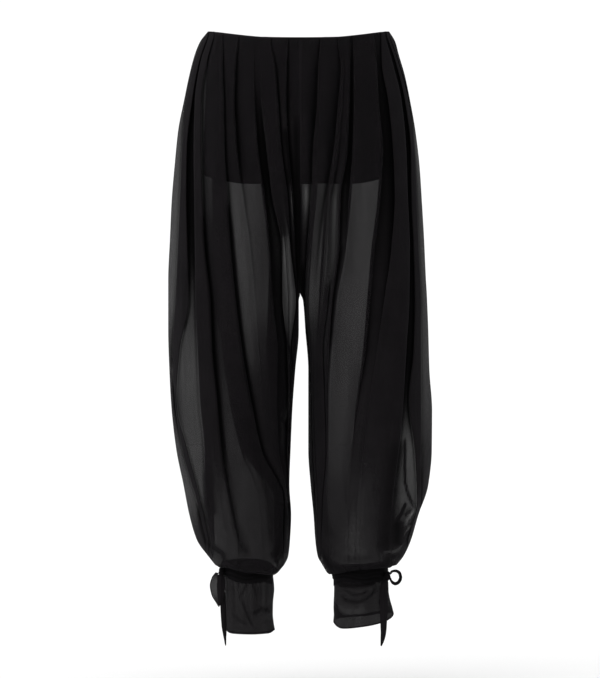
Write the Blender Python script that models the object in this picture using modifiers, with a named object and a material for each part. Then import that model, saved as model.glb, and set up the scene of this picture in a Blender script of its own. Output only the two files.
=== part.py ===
"""Harem pants: sheer pleated legs over a short opaque lining, tied at the ankles.

The garment keeps the hollow form it has when worn. The origin is the middle of
the waist, +X is the wearer's left, -Y is the front and +Z is up. Tables are in
millimetres; everything that reaches Blender is in metres.
"""

import math

import bmesh
import bpy
from mathutils import Vector

MM = 0.001

# ------------------------------------------------------------------ driving sizes
CHIFFON_THICKNESS = 1.2 * MM      # a pleated chiffon panel, as a wall
LINING_THICKNESS = 1.0 * MM
BAND_THICKNESS = 1.5 * MM
CUFF_THICKNESS = 1.2 * MM
RIBBON_THICKNESS = 1.0 * MM
SEAM_GAP = 0.3 * MM               # between neighbouring pieces
WAIST_DIP = 20 * MM               # the front of the waist lies this much lower
PANEL_DIP_SHARES = (1.0, 0.85, 0.65, 0.4, 0.15)     # of that dip, in the top rows of a panel
LINING_DIP_SHARES = (1.0, 0.8, 0.5, 0.2)
LINING_INSET = 0.8 * MM           # from the deepest waist pleat to the lining
SEAM_HEM = 1.5 * MM               # a panel runs square to its seam for this far
MOST_HEM_SHARE = 0.3              # of the fold at the seam
LEAST_FOLD_ANGLE = math.radians(4.0)
FOLD_ROUNDNESS = 0.7              # below 1 makes full rolls with narrow valleys
FOLD_STEEPNESS = 0.36             # a valley's most depth, as a share of the narrower fold beside it

# Sections of each leg, by height, in millimetres. "outer" and "inner" are where the
# section's ring ends, measured outward from the centre line; a ring that passes the
# centre line (a negative "inner") is cut there and forms the rise.
# height, outer, inner, front, back
SECTIONS = {
    "right": (
        (0, 157, -157, 100, 104),
        (-17, 170, -163, 104, 109),
        (-39, 179, -159, 108, 115),
        (-73, 188, -139, 112, 122),
        (-116, 197, -106, 116, 130),
        (-167, 207, -84, 120, 136),
        (-226, 213, -57, 123, 138),
        (-286, 218, -35, 124, 136),
        (-354, 221, -19, 123, 132),
        (-422, 224, -6, 121, 128),
        (-456, 224, 2, 120, 127),
        (-507, 224, 2, 120, 126),
        (-575, 222, 8, 120, 126),
        (-643, 218, 15, 121, 126),
        (-711, 210, 19, 121, 124),
        (-770, 198, 20, 114, 117),
        (-821, 188, 16, 102, 104),
        (-864, 175, 17, 85, 86),
        (-891, 156, 20, 68, 68),
        (-906, 144, 27, 57, 57),
    ),
    "left": (
        (0, 152, -152, 100, 104),
        (-17, 162, -156, 104, 109),
        (-39, 168, -149, 108, 115),
        (-73, 178, -131, 112, 122),
        (-116, 187, -101, 116, 130),
        (-167, 196, -80, 120, 136),
        (-226, 203, -54, 123, 138),
        (-286, 207, -34, 124, 136),
        (-354, 211, -18, 123, 132),
        (-422, 214, -5, 121, 128),
        (-456, 216, 5, 120, 127),
        (-507, 218, 9, 120, 126),
        (-575, 220, 14, 120, 126),
        (-643, 223, 14, 121, 126),
        (-711, 222, 14, 121, 124),
        (-770, 218, 18, 114, 117),
        (-821, 201, 23, 102, 104),
        (-864, 187, 26, 85, 86),
        (-891, 174, 30, 68, 68),
        (-906, 160, 38, 57, 57),
    ),
}

# Valleys between the folds of the front panels, outermost first: distance from the
# centre line in millimetres at each of the heights.
VALLEY_HEIGHTS = (-3, -31, -73, -116, -201, -286, -371, -456, -541, -626, -711, -796, -872, -906)
FRONT_VALLEYS = {
    "right": (
        (155, 165, 175, 180, 187, 187, 185, 185, 190, 189, 178, 168, 146, 126),
        (144, 151, 160, 164, 167, 162, 156, 150, 143, 138, 128, 116, 97, 109),
        (128, 129, 128, 128, 124, 119, 112, 104, 94, 82, 65, 41, 32, 94),
        (102, 105, 108, 108, 105, 94, 83, 73, 65, 54, 49, 34, 27, 83),
        (66, 68, 70, 73, 66, 54, 44, 39, 26, 32, 39, 29, 26, 73),
        (48, 49, 37, 35, 27, 20, 15, 15, 15, 26, 31, 26, 24, 63),
        (20, 22, 24, 24, 19, 12, 7, 7, 8, 20, 26, 22, 21, 54),
    ),
    "left": (
        (150, 160, 170, 177, 185, 187, 189, 187, 182, 175, 175, 184, 163, 129),
        (134, 138, 143, 150, 158, 158, 151, 138, 126, 116, 112, 122, 126, 112),
        (128, 129, 133, 136, 143, 137, 129, 121, 111, 99, 87, 87, 88, 99),
        (88, 88, 88, 88, 85, 76, 70, 60, 51, 56, 61, 70, 78, 88),
        (65, 68, 70, 65, 55, 41, 31, 27, 34, 41, 44, 44, 51, 76),
        (34, 34, 29, 28, 22, 17, 11, 11, 19, 24, 26, 31, 37, 66),
        (15, 15, 10, 8, 7, 6, 5, 7, 13, 17, 16, 23, 29, 58),
    ),
}

# Back folds hang more evenly: where each valley lies across the panel, as a share of
# the way from the side seam to the centre seam, and how far it drifts by the ankle.
CROTCH_HEIGHT = -456
BACK_VALLEYS = (
    # at waist, drift
    (0.10, 0.05),
    (0.22, 0.04),
    (0.35, 0.02),
    (0.47, 0.03),
    (0.60, -0.02),
    (0.73, -0.04),
    (0.86, -0.03),
)

# How deep the valleys are at each height, in millimetres.
FOLD_DEPTHS = (
    (0, 2.2),
    (-17, 4.0),
    (-39, 6.0),
    (-73, 8.0),
    (-150, 11.0),
    (-300, 13.0),
    (-700, 13.0),
    (-800, 9.0),
    (-864, 5.0),
    (-906, 2.5),
)

# The lining: short shorts under the pleats, by height, in millimetres. The ease is
# what its half width and its depths grow by from the waist. The parting is 0 where one
# ring goes round the whole body and 1 where each leg has its own.
LINING_HEM = {"front": -262, "back": -251}
LINING_HEM_SIDE = -243
LINING_CROTCH_GAP = 1.5
# height, ease_out, parting, ease_front, ease_back
LINING_SECTIONS = (
    (0, 0, 0.00, 0, 0),
    (-20, 1.5, 0.02, 1, 1),
    (-60, 5, 0.10, 4, 7),
    (-120, 8, 0.28, 8, 14),
    (-180, 10, 0.52, 9, 16),
    (-225, 11, 0.80, 8, 14),
    (-245, 11, 0.94, 6, 11),
    (-262, 10, 1.00, 4, 8),
)

# The tie wound round each ankle. It leans, so that its top lies at another height at
# the outer side, the inner side, the front and the back.
ANKLES = {
    "right": {"centre": 89 * MM, "half_width": 43.5 * MM, "half_depth": 42 * MM, "top": -906 * MM,
              "lean_out": 3 * MM, "lean_front": -5.5 * MM, "height": 22 * MM},
    "left": {"centre": 102 * MM, "half_width": 47.5 * MM, "half_depth": 41 * MM, "top": -911 * MM,
             "lean_out": 2 * MM, "lean_front": 1 * MM, "height": 22 * MM},
}
BAND_BULGE = 0.6 * MM             # its middle stands out past its edges
BLOUSE_NECK = 5 * MM              # how far the gathered leg reaches into its band
NECK_CLEARANCE = 0.5 * MM         # between the band and what it is wound round
NECK_LIP = 1 * MM                 # where the neck's wall becomes upright inside the band
TURN_IN = (
    # beyond the band, below its top: the blouse folds under and rises into the band
    (9 * MM, 2 * MM),
    (4 * MM, -2.5 * MM),
    (-0.5 * MM, -3.5 * MM),
)

# Cuffs: depth below the band's top, ring centre, half width, half depth, in millimetres.
# A row's lift raises the ring's outer side and dip lowers its front.
CUFFS = {
    "right": (
        # drop, centre, half width, half depth, lift, dip
        (23, 88.5, 40.5, 39.0, 3.0, -5.0),
        (40, 86, 41.5, 38.5, 1.0, -2.0),
        (62, 86, 40.5, 37.0, 0.0, 0.0),
        (84, 86, 40.0, 36.0, 0.0, 0.0),
        (100, 85, 40.5, 36.0, 0.0, 0.0),
        (111, 84, 41.5, 36.5, 0.0, -1.0),
    ),
    "left": (
        (23, 102, 44.5, 38.0, 2.0, 0.5),
        (36, 104, 46.0, 38.5, 2.0, -1.0),
        (50, 104, 46.5, 38.0, 3.0, -2.0),
        (64, 105, 48.0, 38.0, 4.0, -3.0),
        (76, 107, 49.5, 38.5, 6.0, -5.0),
        (87, 108, 51.5, 39.0, 8.0, -6.0),
    ),
}
CUFF_GATHERS = {"right": 13, "left": 11}
CUFF_GATHER_DEPTH = 1.1 * MM
CUFF_COLUMNS = 36
BAND_COLUMNS = 32
LINING_COLUMNS = 9

# Ribbons: places along the middle of each, in millimetres outward, forward and upward
# from the band's outer end at its top, with the ribbon's width there and how far its
# face is turned from facing sideways (0) towards facing forward (90 degrees).
# out, forward, up, width, turn
TIE_LOOPS = {
    "right": (
        (1.0, 22, -16.4, 7, 60),
        (0.5, 26, -22, 13, 80),
        (1.0, 26, -38, 16, 85),
        (2.5, 24, -53, 16, 85),
        (5.5, 19, -62, 15, 90),
        (10.0, 15, -58, 15, 90),
        (12.5, 13, -47, 16, 88),
        (13.0, 13, -34, 16, 85),
        (11.0, 15, -22, 13, 80),
        (7.0, 18, -13, 8, 60),
    ),
    "left": (
        (3.1, 22.8, -9.4, 7, 0),
        (7, 22, -5.5, 9, 0),
        (12, 22, -4.2, 10, 0),
        (17, 22, -6.5, 11, 0),
        (19.5, 22, -12, 11, 0),
        (17, 22, -18.5, 11, 0),
        (12, 22, -21.5, 10, 0),
        (7, 22, -19.5, 9, 0),
        (3.1, 22.8, -14.7, 7, 0),
    ),
}
TIE_TAILS = {
    "right": (
        (1.0, 17.0, -16.4, 5, 30),
        (-0.2, 12.0, -30, 8, 40),
        (-0.5, 7.0, -55, 10, 40),
        (-1.0, 6.5, -80, 11, 40),
        (-2.5, 7.0, -103, 10, 35),
        (-4.5, 7.5, -122, 6, 30),
        (-5.8, 7.5, -134, 1.6, 30),
    ),
    "left": (
        (-2.8, 25.5, -18.0, 6, 70),
        (-7.0, 31.0, -27, 12, 80),
        (-8.0, 34.5, -45, 14, 80),
        (-7.5, 36.0, -65, 15, 80),
        (-8.0, 35.5, -85, 12, 70),
        (-9.0, 33.5, -108, 9, 60),
        (-10.5, 32.0, -128, 1.6, 60),
    ),
}
KNOT_SIZE = {"out": 4.5 * MM, "forward": 5.5 * MM, "up": 6.5 * MM}
KNOT_PLACES = {"right": (1.2, 20.3, -10.0), "left": (-1.6, 23.5, -12.0)}

OUTWARD = {"right": -1.0, "left": 1.0}
FACING = {"front": -1.0, "back": 1.0}


# ------------------------------------------------------------------ reading the tables
def smooth_read(rows, column, height):
    """Read a column of a table at a height, along a curve that doesn't overshoot."""
    heights = [row[0] for row in rows]
    values = [row[column] for row in rows]
    if height >= heights[0]:
        return values[0]
    if height <= heights[-1]:
        return values[-1]
    place = next(i for i in range(len(rows) - 1) if heights[i + 1] <= height)
    slopes = [(values[i + 1] - values[i]) / (heights[i + 1] - heights[i]) for i in range(len(rows) - 1)]

    def tangent(i):
        if i in (0, len(rows) - 1):
            return slopes[min(i, len(slopes) - 1)]
        before, after = slopes[i - 1], slopes[i]
        return 0.0 if before * after <= 0 else 2 * before * after / (before + after)

    step = heights[place + 1] - heights[place]
    t = (height - heights[place]) / step
    return ((2 * t**3 - 3 * t**2 + 1) * values[place]
            + (t**3 - 2 * t**2 + t) * step * tangent(place)
            + (-2 * t**3 + 3 * t**2) * values[place + 1]
            + (t**3 - t**2) * step * tangent(place + 1))


def section_at(table, height):
    """The ring at a height in metres: its centre, half width, depths and where it is cut."""
    outer, inner, front, back = (smooth_read(table, column, height / MM) * MM for column in (1, 2, 3, 4))
    centre = (outer + inner) / 2
    half_width = (outer - inner) / 2
    cut_cosine = max(-1.0, (SEAM_GAP / 2 - centre) / half_width)
    return {"height": height, "centre": centre, "half_width": half_width,
            "front": front, "back": back, "end_angle": math.acos(cut_cosine)}


def valley_angles(section, side, facing):
    """Angles of the fold valleys round a section, from the side seam at 0."""
    end = section["end_angle"]
    height = section["height"] / MM
    angles = []
    if facing == "front":
        for distances in FRONT_VALLEYS[side]:
            distance = smooth_read(list(zip(VALLEY_HEIGHTS, distances)), 1, height) * MM
            cosine = (distance - section["centre"]) / section["half_width"]
            angles.append(math.acos(max(-1.0, min(1.0, cosine))))
    else:
        way_down = min(1.0, max(0.0, height / SECTIONS[side][-1][0]))
        to_crotch = min(1.0, max(0.0, height / CROTCH_HEIGHT))
        reach = math.pi / 2 * (1 + to_crotch**2 * (3 - 2 * to_crotch))
        for share, drift in BACK_VALLEYS:
            angles.append(reach * (share + drift * way_down))
    return spread_apart(angles, end)


def spread_apart(angles, end):
    """Keep the valleys in order, and none closer to its neighbour than the least angle."""
    least = min(LEAST_FOLD_ANGLE, end / (len(angles) + 2))
    for i in range(len(angles)):
        floor = angles[i - 1] if i else 0.0
        angles[i] = max(angles[i], floor + least)
    for i in reversed(range(len(angles))):
        ceiling = angles[i + 1] if i + 1 < len(angles) else end
        angles[i] = min(angles[i], ceiling - least)
    return angles


# ------------------------------------------------------------------ the pleated panels
def fold_columns(section, side, facing):
    """Angle and inset of each column of a panel: crests lie on the ring, valleys inside it."""
    end = section["end_angle"]
    radius = (section["half_width"] + section[facing]) / 2
    deepest = smooth_read(FOLD_DEPTHS, 1, section["height"] / MM) * MM
    stops = [0.0, *valley_angles(section, side, facing), end]
    spans = [(after - before) * radius for before, after in zip(stops, stops[1:])]
    depths = [min(deepest, FOLD_STEEPNESS * min(pair)) for pair in zip(spans, spans[1:])]
    columns = []
    for i, span in enumerate(spans):
        first, last = i == 0, i == len(spans) - 1
        near_seam = min(MOST_HEM_SHARE, SEAM_HEM / span)
        if first:
            shares, start_depth, end_depth = (0.0, near_seam, 0.5), depths[0], depths[0]
        elif last:
            shares, start_depth, end_depth = (0.0, 0.5, 1 - near_seam), depths[-1], depths[-1]
        else:
            shares, start_depth, end_depth = (0.0, 1 / 3, 2 / 3), depths[i - 1], depths[i]
        for share in shares:
            phase = (1 + share) / 2 if first else share / 2 if last else share
            crest = math.sin(math.pi * phase) ** FOLD_ROUNDNESS
            depth = start_depth + (end_depth - start_depth) * share
            columns.append((stops[i] + (stops[i + 1] - stops[i]) * share, depth * (1 - crest)))
    columns.append((end, 0.0))
    return columns


def panel_rows(side, facing):
    """Rows of points of an outer panel, in the wearer's outward, forward and up axes."""
    rows = []
    for height in [row[0] * MM for row in SECTIONS[side]]:
        section = section_at(SECTIONS[side], height)
        depth = section[facing]
        row = []
        for angle, inset in fold_columns(section, side, facing):
            out = section["centre"] + (section["half_width"] - inset) * math.cos(angle)
            forward = (depth - inset) * math.sin(angle)
            row.append([max(SEAM_GAP / 2, out), max(SEAM_GAP / 2, forward), height])
        rows.append(row)
    if facing == "front":
        dip_waist(rows, PANEL_DIP_SHARES)
    last = section_at(SECTIONS[side], SECTIONS[side][-1][0] * MM)
    rows += neck_rows(side, facing, [angle for angle, _ in fold_columns(last, side, facing)])
    return rows


def dip_waist(rows, shares):
    """Lower the front of the waist, less and less in the rows below it."""
    top_depth = max(point[1] for point in rows[0])
    for row, share in zip(rows, shares):
        for point in row:
            point[2] -= WAIST_DIP * share * min(1.0, point[1] / top_depth) ** 2


def neck_rows(side, facing, angles):
    """The last rows turn in under the blouse and go down inside the ankle band."""
    ankle = ANKLES[side]
    inset = BAND_THICKNESS + NECK_CLEARANCE
    rows = []
    for grow, drop in (*TURN_IN, (-inset, NECK_LIP), (-inset, BLOUSE_NECK)):
        row = []
        for angle in angles:
            out = ankle["centre"] + (ankle["half_width"] + grow) * math.cos(angle)
            forward = (ankle["half_depth"] + grow) * math.sin(angle)
            up = band_top(ankle, angle, facing) - drop
            row.append([out, max(SEAM_GAP / 2, forward), up])
        rows.append(row)
    return rows


def band_top(ankle, angle, facing):
    """Height of a leaning band's top edge at an angle from the outer side."""
    lean = ankle["lean_front"] * (1 if facing == "front" else -1)
    return ankle["top"] + ankle["lean_out"] * math.cos(angle) + lean * math.sin(angle)


# ------------------------------------------------------------------ the lining
def lining_rows(side, facing):
    """Rows of points of one lining quarter, inside the deepest waist pleats."""
    waist = SECTIONS[side][0]
    pleat = smooth_read(FOLD_DEPTHS, 1, 0) * MM + CHIFFON_THICKNESS + LINING_INSET
    depth_column = 3 if facing == "front" else 4
    rows = []
    for step in LINING_SECTIONS:
        share = step[0] / LINING_SECTIONS[-1][0]
        outer = (waist[1] + step[1]) * MM - pleat
        inner = LINING_CROTCH_GAP * MM * step[2] - outer * (1 - step[2]) / (1 + step[2])
        depth = (waist[depth_column] + step[depth_column]) * MM - pleat
        centre, half_width = (outer + inner) / 2, (outer - inner) / 2
        end = math.acos(max(-1.0, min(1.0, (SEAM_GAP / 2 - centre) / half_width)))
        row = []
        hem_share = SEAM_HEM / (half_width * end)
        inside = [step / LINING_COLUMNS for step in range(1, LINING_COLUMNS)]
        for column in (0.0, hem_share, *inside, 1 - hem_share, 1.0):
            angle = end * column
            out = centre + half_width * math.cos(angle)
            forward = depth * math.sin(angle)
            hem = LINING_HEM_SIDE + (LINING_HEM[facing] - LINING_HEM_SIDE) * math.sin(angle) ** 2
            row.append([max(SEAM_GAP / 2, out), max(SEAM_GAP / 2, forward), hem * share * MM])
        rows.append(row)
    if facing == "front":
        dip_waist(rows, LINING_DIP_SHARES)
    return rows


# ------------------------------------------------------------------ meshes
def place(side, facing, point):
    """Turn outward, forward and up measures into the frame's own axes."""
    return Vector((OUTWARD[side] * point[0], FACING[facing] * point[1], point[2]))


def grid_object(name, rows, side, facing, thickness, material, closed=False, outside=True):
    """An open sheet through rows of points, given its thickness on the inner side."""
    mesh = bpy.data.meshes.new(name)
    bm = bmesh.new()
    grid = [[bm.verts.new(place(side, facing, point)) for point in row] for row in rows]
    across = len(rows[0])
    mirrored = OUTWARD[side] * FACING[facing] < 0
    for upper, lower in zip(grid, grid[1:]):
        for i in range(across if closed else across - 1):
            j = (i + 1) % across
            corners = (upper[i], upper[j], lower[j], lower[i])
            bm.faces.new(corners if mirrored == outside else reversed(corners))
    bm.to_mesh(mesh)
    bm.free()
    mesh.shade_smooth()
    obj = bpy.data.objects.new(name, mesh)
    collection.objects.link(obj)
    obj.data.materials.append(material)
    shell = obj.modifiers.new("cloth", "SOLIDIFY")
    shell.thickness = thickness
    shell.offset = -1
    return obj


def ring_rows(side, levels, columns):
    """Closed rings round an ankle: each level gives a centre, radii and a height rule."""
    rows = []
    for level in levels:
        row = []
        for column in range(columns):
            angle = 2 * math.pi * column / columns
            waved = level["wave"] * math.cos(level["waves"] * angle)
            out = level["centre"] + (level["half_width"] + waved) * math.cos(angle)
            forward = (level["half_depth"] + waved) * math.sin(angle)
            up = level["height"] + level["lift"] * math.cos(angle) + level["dip"] * math.sin(angle)
            row.append([out, forward, up])
        rows.append(row)
    return rows


def build_band(side, material):
    """The tie's wound part: a short leaning ring."""
    ankle = ANKLES[side]
    levels = []
    for share, bulge in ((0.0, 0.0), (0.2, BAND_BULGE), (0.8, BAND_BULGE), (1.0, 0.0)):
        levels.append({"centre": ankle["centre"], "half_width": ankle["half_width"] + bulge,
                       "half_depth": ankle["half_depth"] + bulge, "height": ankle["top"] - share * ankle["height"],
                       "lift": ankle["lean_out"], "dip": ankle["lean_front"], "wave": 0.0, "waves": 0})
    rows = ring_rows(side, levels, BAND_COLUMNS)
    return grid_object(f"ankle_band_{side}", rows, side, "front", BAND_THICKNESS, material, closed=True)


def build_cuff(side, material):
    """The hemmed tube below the band, with small gathers that fade downwards."""
    levels = []
    ankle = ANKLES[side]
    inset = BAND_THICKNESS + NECK_CLEARANCE
    seam_row = ((BLOUSE_NECK + SEAM_GAP) / MM, ankle["centre"] / MM, (ankle["half_width"] - inset) / MM,
                (ankle["half_depth"] - inset) / MM, ankle["lean_out"] / MM, ankle["lean_front"] / MM)
    table = (seam_row, *CUFFS[side])
    for drop, centre, half_width, half_depth, lift, dip in table:
        fade = 1 - (drop - table[0][0]) / (table[-1][0] - table[0][0])
        levels.append({"centre": centre * MM, "half_width": half_width * MM, "half_depth": half_depth * MM,
                       "height": ankle["top"] - drop * MM, "lift": lift * MM, "dip": dip * MM,
                       "wave": CUFF_GATHER_DEPTH * fade * min(1.0, 4 * (1 - fade)),
                       "waves": CUFF_GATHERS[side]})
    rows = ring_rows(side, levels, CUFF_COLUMNS)
    return grid_object(f"cuff_{side}", rows, side, "front", CUFF_THICKNESS, material, closed=True)


def build_ribbon(name, side, table, material):
    """A flat ribbon along a run of places, its width turned about the run."""
    ankle = ANKLES[side]
    origin = Vector((ankle["centre"] + ankle["half_width"], 0.0, ankle["top"]))
    middle = [origin + Vector(row[:3]) * MM for row in table]
    rows = []
    for i, (_, _, _, width, turn) in enumerate(table):
        along = (middle[min(i + 1, len(middle) - 1)] - middle[max(i - 1, 0)]).normalized()
        across = Vector((math.sin(math.radians(turn)), math.cos(math.radians(turn)), 0.0))
        across = (across - along * across.dot(along)).normalized()
        half = across * width * MM / 2
        rows.append([middle[i] - half, middle[i], middle[i] + half])
    return grid_object(name, rows, side, "front", RIBBON_THICKNESS, material)


def build_knot(side, material):
    """The bow's knot: a small rounded block pressed flat against the band."""
    ankle = ANKLES[side]
    bm = bmesh.new()
    bmesh.ops.create_uvsphere(bm, u_segments=12, v_segments=8, radius=1.0)
    bmesh.ops.scale(bm, vec=(KNOT_SIZE["out"], KNOT_SIZE["forward"], KNOT_SIZE["up"]), verts=bm.verts)
    mesh = bpy.data.meshes.new(f"tie_knot_{side}")
    bm.to_mesh(mesh)
    bm.free()
    mesh.shade_smooth()
    knot = bpy.data.objects.new(f"tie_knot_{side}", mesh)
    collection.objects.link(knot)
    out, forward, up = (value * MM for value in KNOT_PLACES[side])
    knot.location = place(side, "front", (ankle["centre"] + ankle["half_width"] + out, forward,
                                          ankle["top"] + up))
    knot.data.materials.append(material)
    return knot


# ------------------------------------------------------------------ materials
def fabric(name, colour, roughness, opacity):
    """A plain cloth finish."""
    material = bpy.data.materials.new(name)
    material.use_nodes = True
    shader = material.node_tree.nodes["Principled BSDF"]
    shader.inputs["Base Color"].default_value = (*colour, 1.0)
    shader.inputs["Roughness"].default_value = roughness
    shader.inputs["Metallic"].default_value = 0.0
    shader.inputs["Alpha"].default_value = opacity
    return material


for old in list(bpy.data.objects):
    bpy.data.objects.remove(old)
collection = bpy.data.collections.new("harem_pants")
bpy.context.scene.collection.children.link(collection)

chiffon = fabric("chiffon", (0.010, 0.009, 0.010), 0.85, 0.74)
lining_cloth = fabric("lining", (0.008, 0.007, 0.008), 0.75, 1.0)
ribbon_cloth = fabric("ribbon", (0.010, 0.009, 0.011), 0.70, 0.92)

for side_name in ("right", "left"):
    for facing_name in ("front", "back"):
        grid_object(f"{facing_name}_{side_name}", panel_rows(side_name, facing_name),
                    side_name, facing_name, CHIFFON_THICKNESS, chiffon)
        grid_object(f"lining_{facing_name}_{side_name}", lining_rows(side_name, facing_name),
                    side_name, facing_name, LINING_THICKNESS, lining_cloth)
    build_band(side_name, ribbon_cloth)
    build_cuff(side_name, chiffon)
    build_knot(side_name, ribbon_cloth)
    build_ribbon(f"tie_loop_{side_name}", side_name, TIE_LOOPS[side_name], ribbon_cloth)
    build_ribbon(f"tie_tail_{side_name}", side_name, TIE_TAILS[side_name], ribbon_cloth)
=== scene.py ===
"""Looks of the harem pants: sheer pleated crepe over a short opaque lining.

Every panel is a thin sheet of cloth on the form of its solid. Its folds overlap as
pleats do, so that where three plies lie on each other less light comes through. The
tables are in millimetres and everything that reaches Blender is in metres. Front folds
and strokes are placed as they look from the camera, flat in the plane of the side
seams, and seen_to_real() and stroked() bring them to the cloth's own depth.
"""

from math import acos, cos, degrees, dist, exp, hypot, inf, pi, radians, sin, sqrt

import bpy
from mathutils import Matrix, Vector, noise


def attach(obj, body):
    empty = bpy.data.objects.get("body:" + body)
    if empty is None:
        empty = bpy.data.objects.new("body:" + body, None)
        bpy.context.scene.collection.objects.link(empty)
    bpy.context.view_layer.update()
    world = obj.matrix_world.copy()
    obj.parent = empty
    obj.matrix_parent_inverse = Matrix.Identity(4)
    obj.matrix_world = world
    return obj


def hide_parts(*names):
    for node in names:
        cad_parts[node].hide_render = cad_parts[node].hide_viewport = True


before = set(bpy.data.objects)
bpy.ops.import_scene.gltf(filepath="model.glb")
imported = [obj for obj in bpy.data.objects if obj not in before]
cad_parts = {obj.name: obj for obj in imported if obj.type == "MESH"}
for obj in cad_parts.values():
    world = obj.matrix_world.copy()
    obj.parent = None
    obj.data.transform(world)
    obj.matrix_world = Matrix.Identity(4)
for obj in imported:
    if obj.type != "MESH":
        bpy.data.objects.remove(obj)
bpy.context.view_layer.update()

MM = 0.001
OUTWARD = {"right": -1.0, "left": 1.0}
FACING = {"front": -1.0, "back": 1.0}
QUARTERS = [(side, facing) for side in OUTWARD for facing in FACING]

# ---------------- camera and room
CAMERA_DISTANCE = 6.0
CAMERA_HEIGHT = -0.522
EYE = CAMERA_HEIGHT / MM
FRAME_HEIGHT = 1.1526             # what the picture spans at the plane of the side seams
SENSOR = 36.0
FLOOR_HEIGHT = -1.12
FLOOR_HALF = 14.0
FLOOR_COLOUR = (0.86, 0.86, 0.86)
SKY_STRENGTH = 1.06               # as the camera sees it
SKY_LEVEL = 0.12                  # the light that it gives from all round
SKY_GLOWS = (
    # towards, how tight, how bright
    ((0, 0, 1), 1.2, 1.5),
    ((-0.8, -0.58, 0.15), 4.0, 2.4),
)

# ---------------- the legs
ROW_STEP = 4                      # between rows of a panel
TURNED_EDGE = (-0.8, -1.6)        # more rows, where the top edge is turned in
CAD_SEAM_GAP = 0.3
WAIST_DIP = 20                    # how much lower the middle of the front lies
DIP_SHARES = (
    # height, share of the waist's dip
    (0, 1), (-17, 0.85), (-39, 0.65), (-73, 0.4), (-116, 0.15), (-160, 0),
)
FOLD_DEPTHS = (
    # height, depth of a full fold
    (0, 2.2), (-17, 4), (-39, 6), (-73, 8), (-150, 11), (-300, 13), (-700, 13), (-800, 9),
    (-864, 5), (-906, 2.5),
)

# Sections of each leg: height, outer, inner, front, back.
SECTIONS = {"right": (
    (0, 157, -157, 100, 104), (-17, 170, -163, 104, 109), (-39, 179, -159, 108, 115),
    (-73, 188, -139, 112, 122), (-116, 197, -106, 116, 130), (-167, 207, -84, 120, 136),
    (-226, 213, -57, 123, 138), (-286, 218, -35, 124, 136), (-354, 221, -19, 123, 132),
    (-422, 224, -6, 121, 128), (-443, 224, -1.5, 120.5, 127.5), (-456, 224, 2, 120, 127),
    (-507, 224, 2, 120, 126), (-575, 222, 8, 120, 126), (-643, 218, 13, 121, 126),
    (-711, 210, 16, 121, 124), (-770, 198, 18, 114, 117), (-821, 188, 15, 102, 104),
    (-864, 175, 17, 85, 86), (-891, 156, 20, 68, 68), (-906, 144, 27, 57, 57),
), "left": (
    (0, 152, -152, 100, 104), (-17, 162, -156, 104, 109), (-39, 168, -149, 108, 115),
    (-73, 178, -131, 112, 122), (-116, 187, -101, 116, 130), (-167, 196, -80, 120, 136),
    (-226, 203, -54, 123, 138), (-286, 207, -34, 124, 136), (-354, 211, -18, 123, 132),
    (-422, 214, -5, 121, 128), (-442, 215.3, -1, 120.5, 127.5), (-456, 216, 5, 120, 127),
    (-507, 218, 9, 120, 126), (-575, 220, 14, 120, 126), (-643, 224.5, 14, 121, 126),
    (-711, 224, 14, 121, 124), (-770, 218, 18, 114, 117), (-821, 201, 23, 102, 104),
    (-864, 188.5, 26, 85, 86), (-891, 176, 30, 68, 68), (-906, 164, 38, 57, 57),
)}

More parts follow.
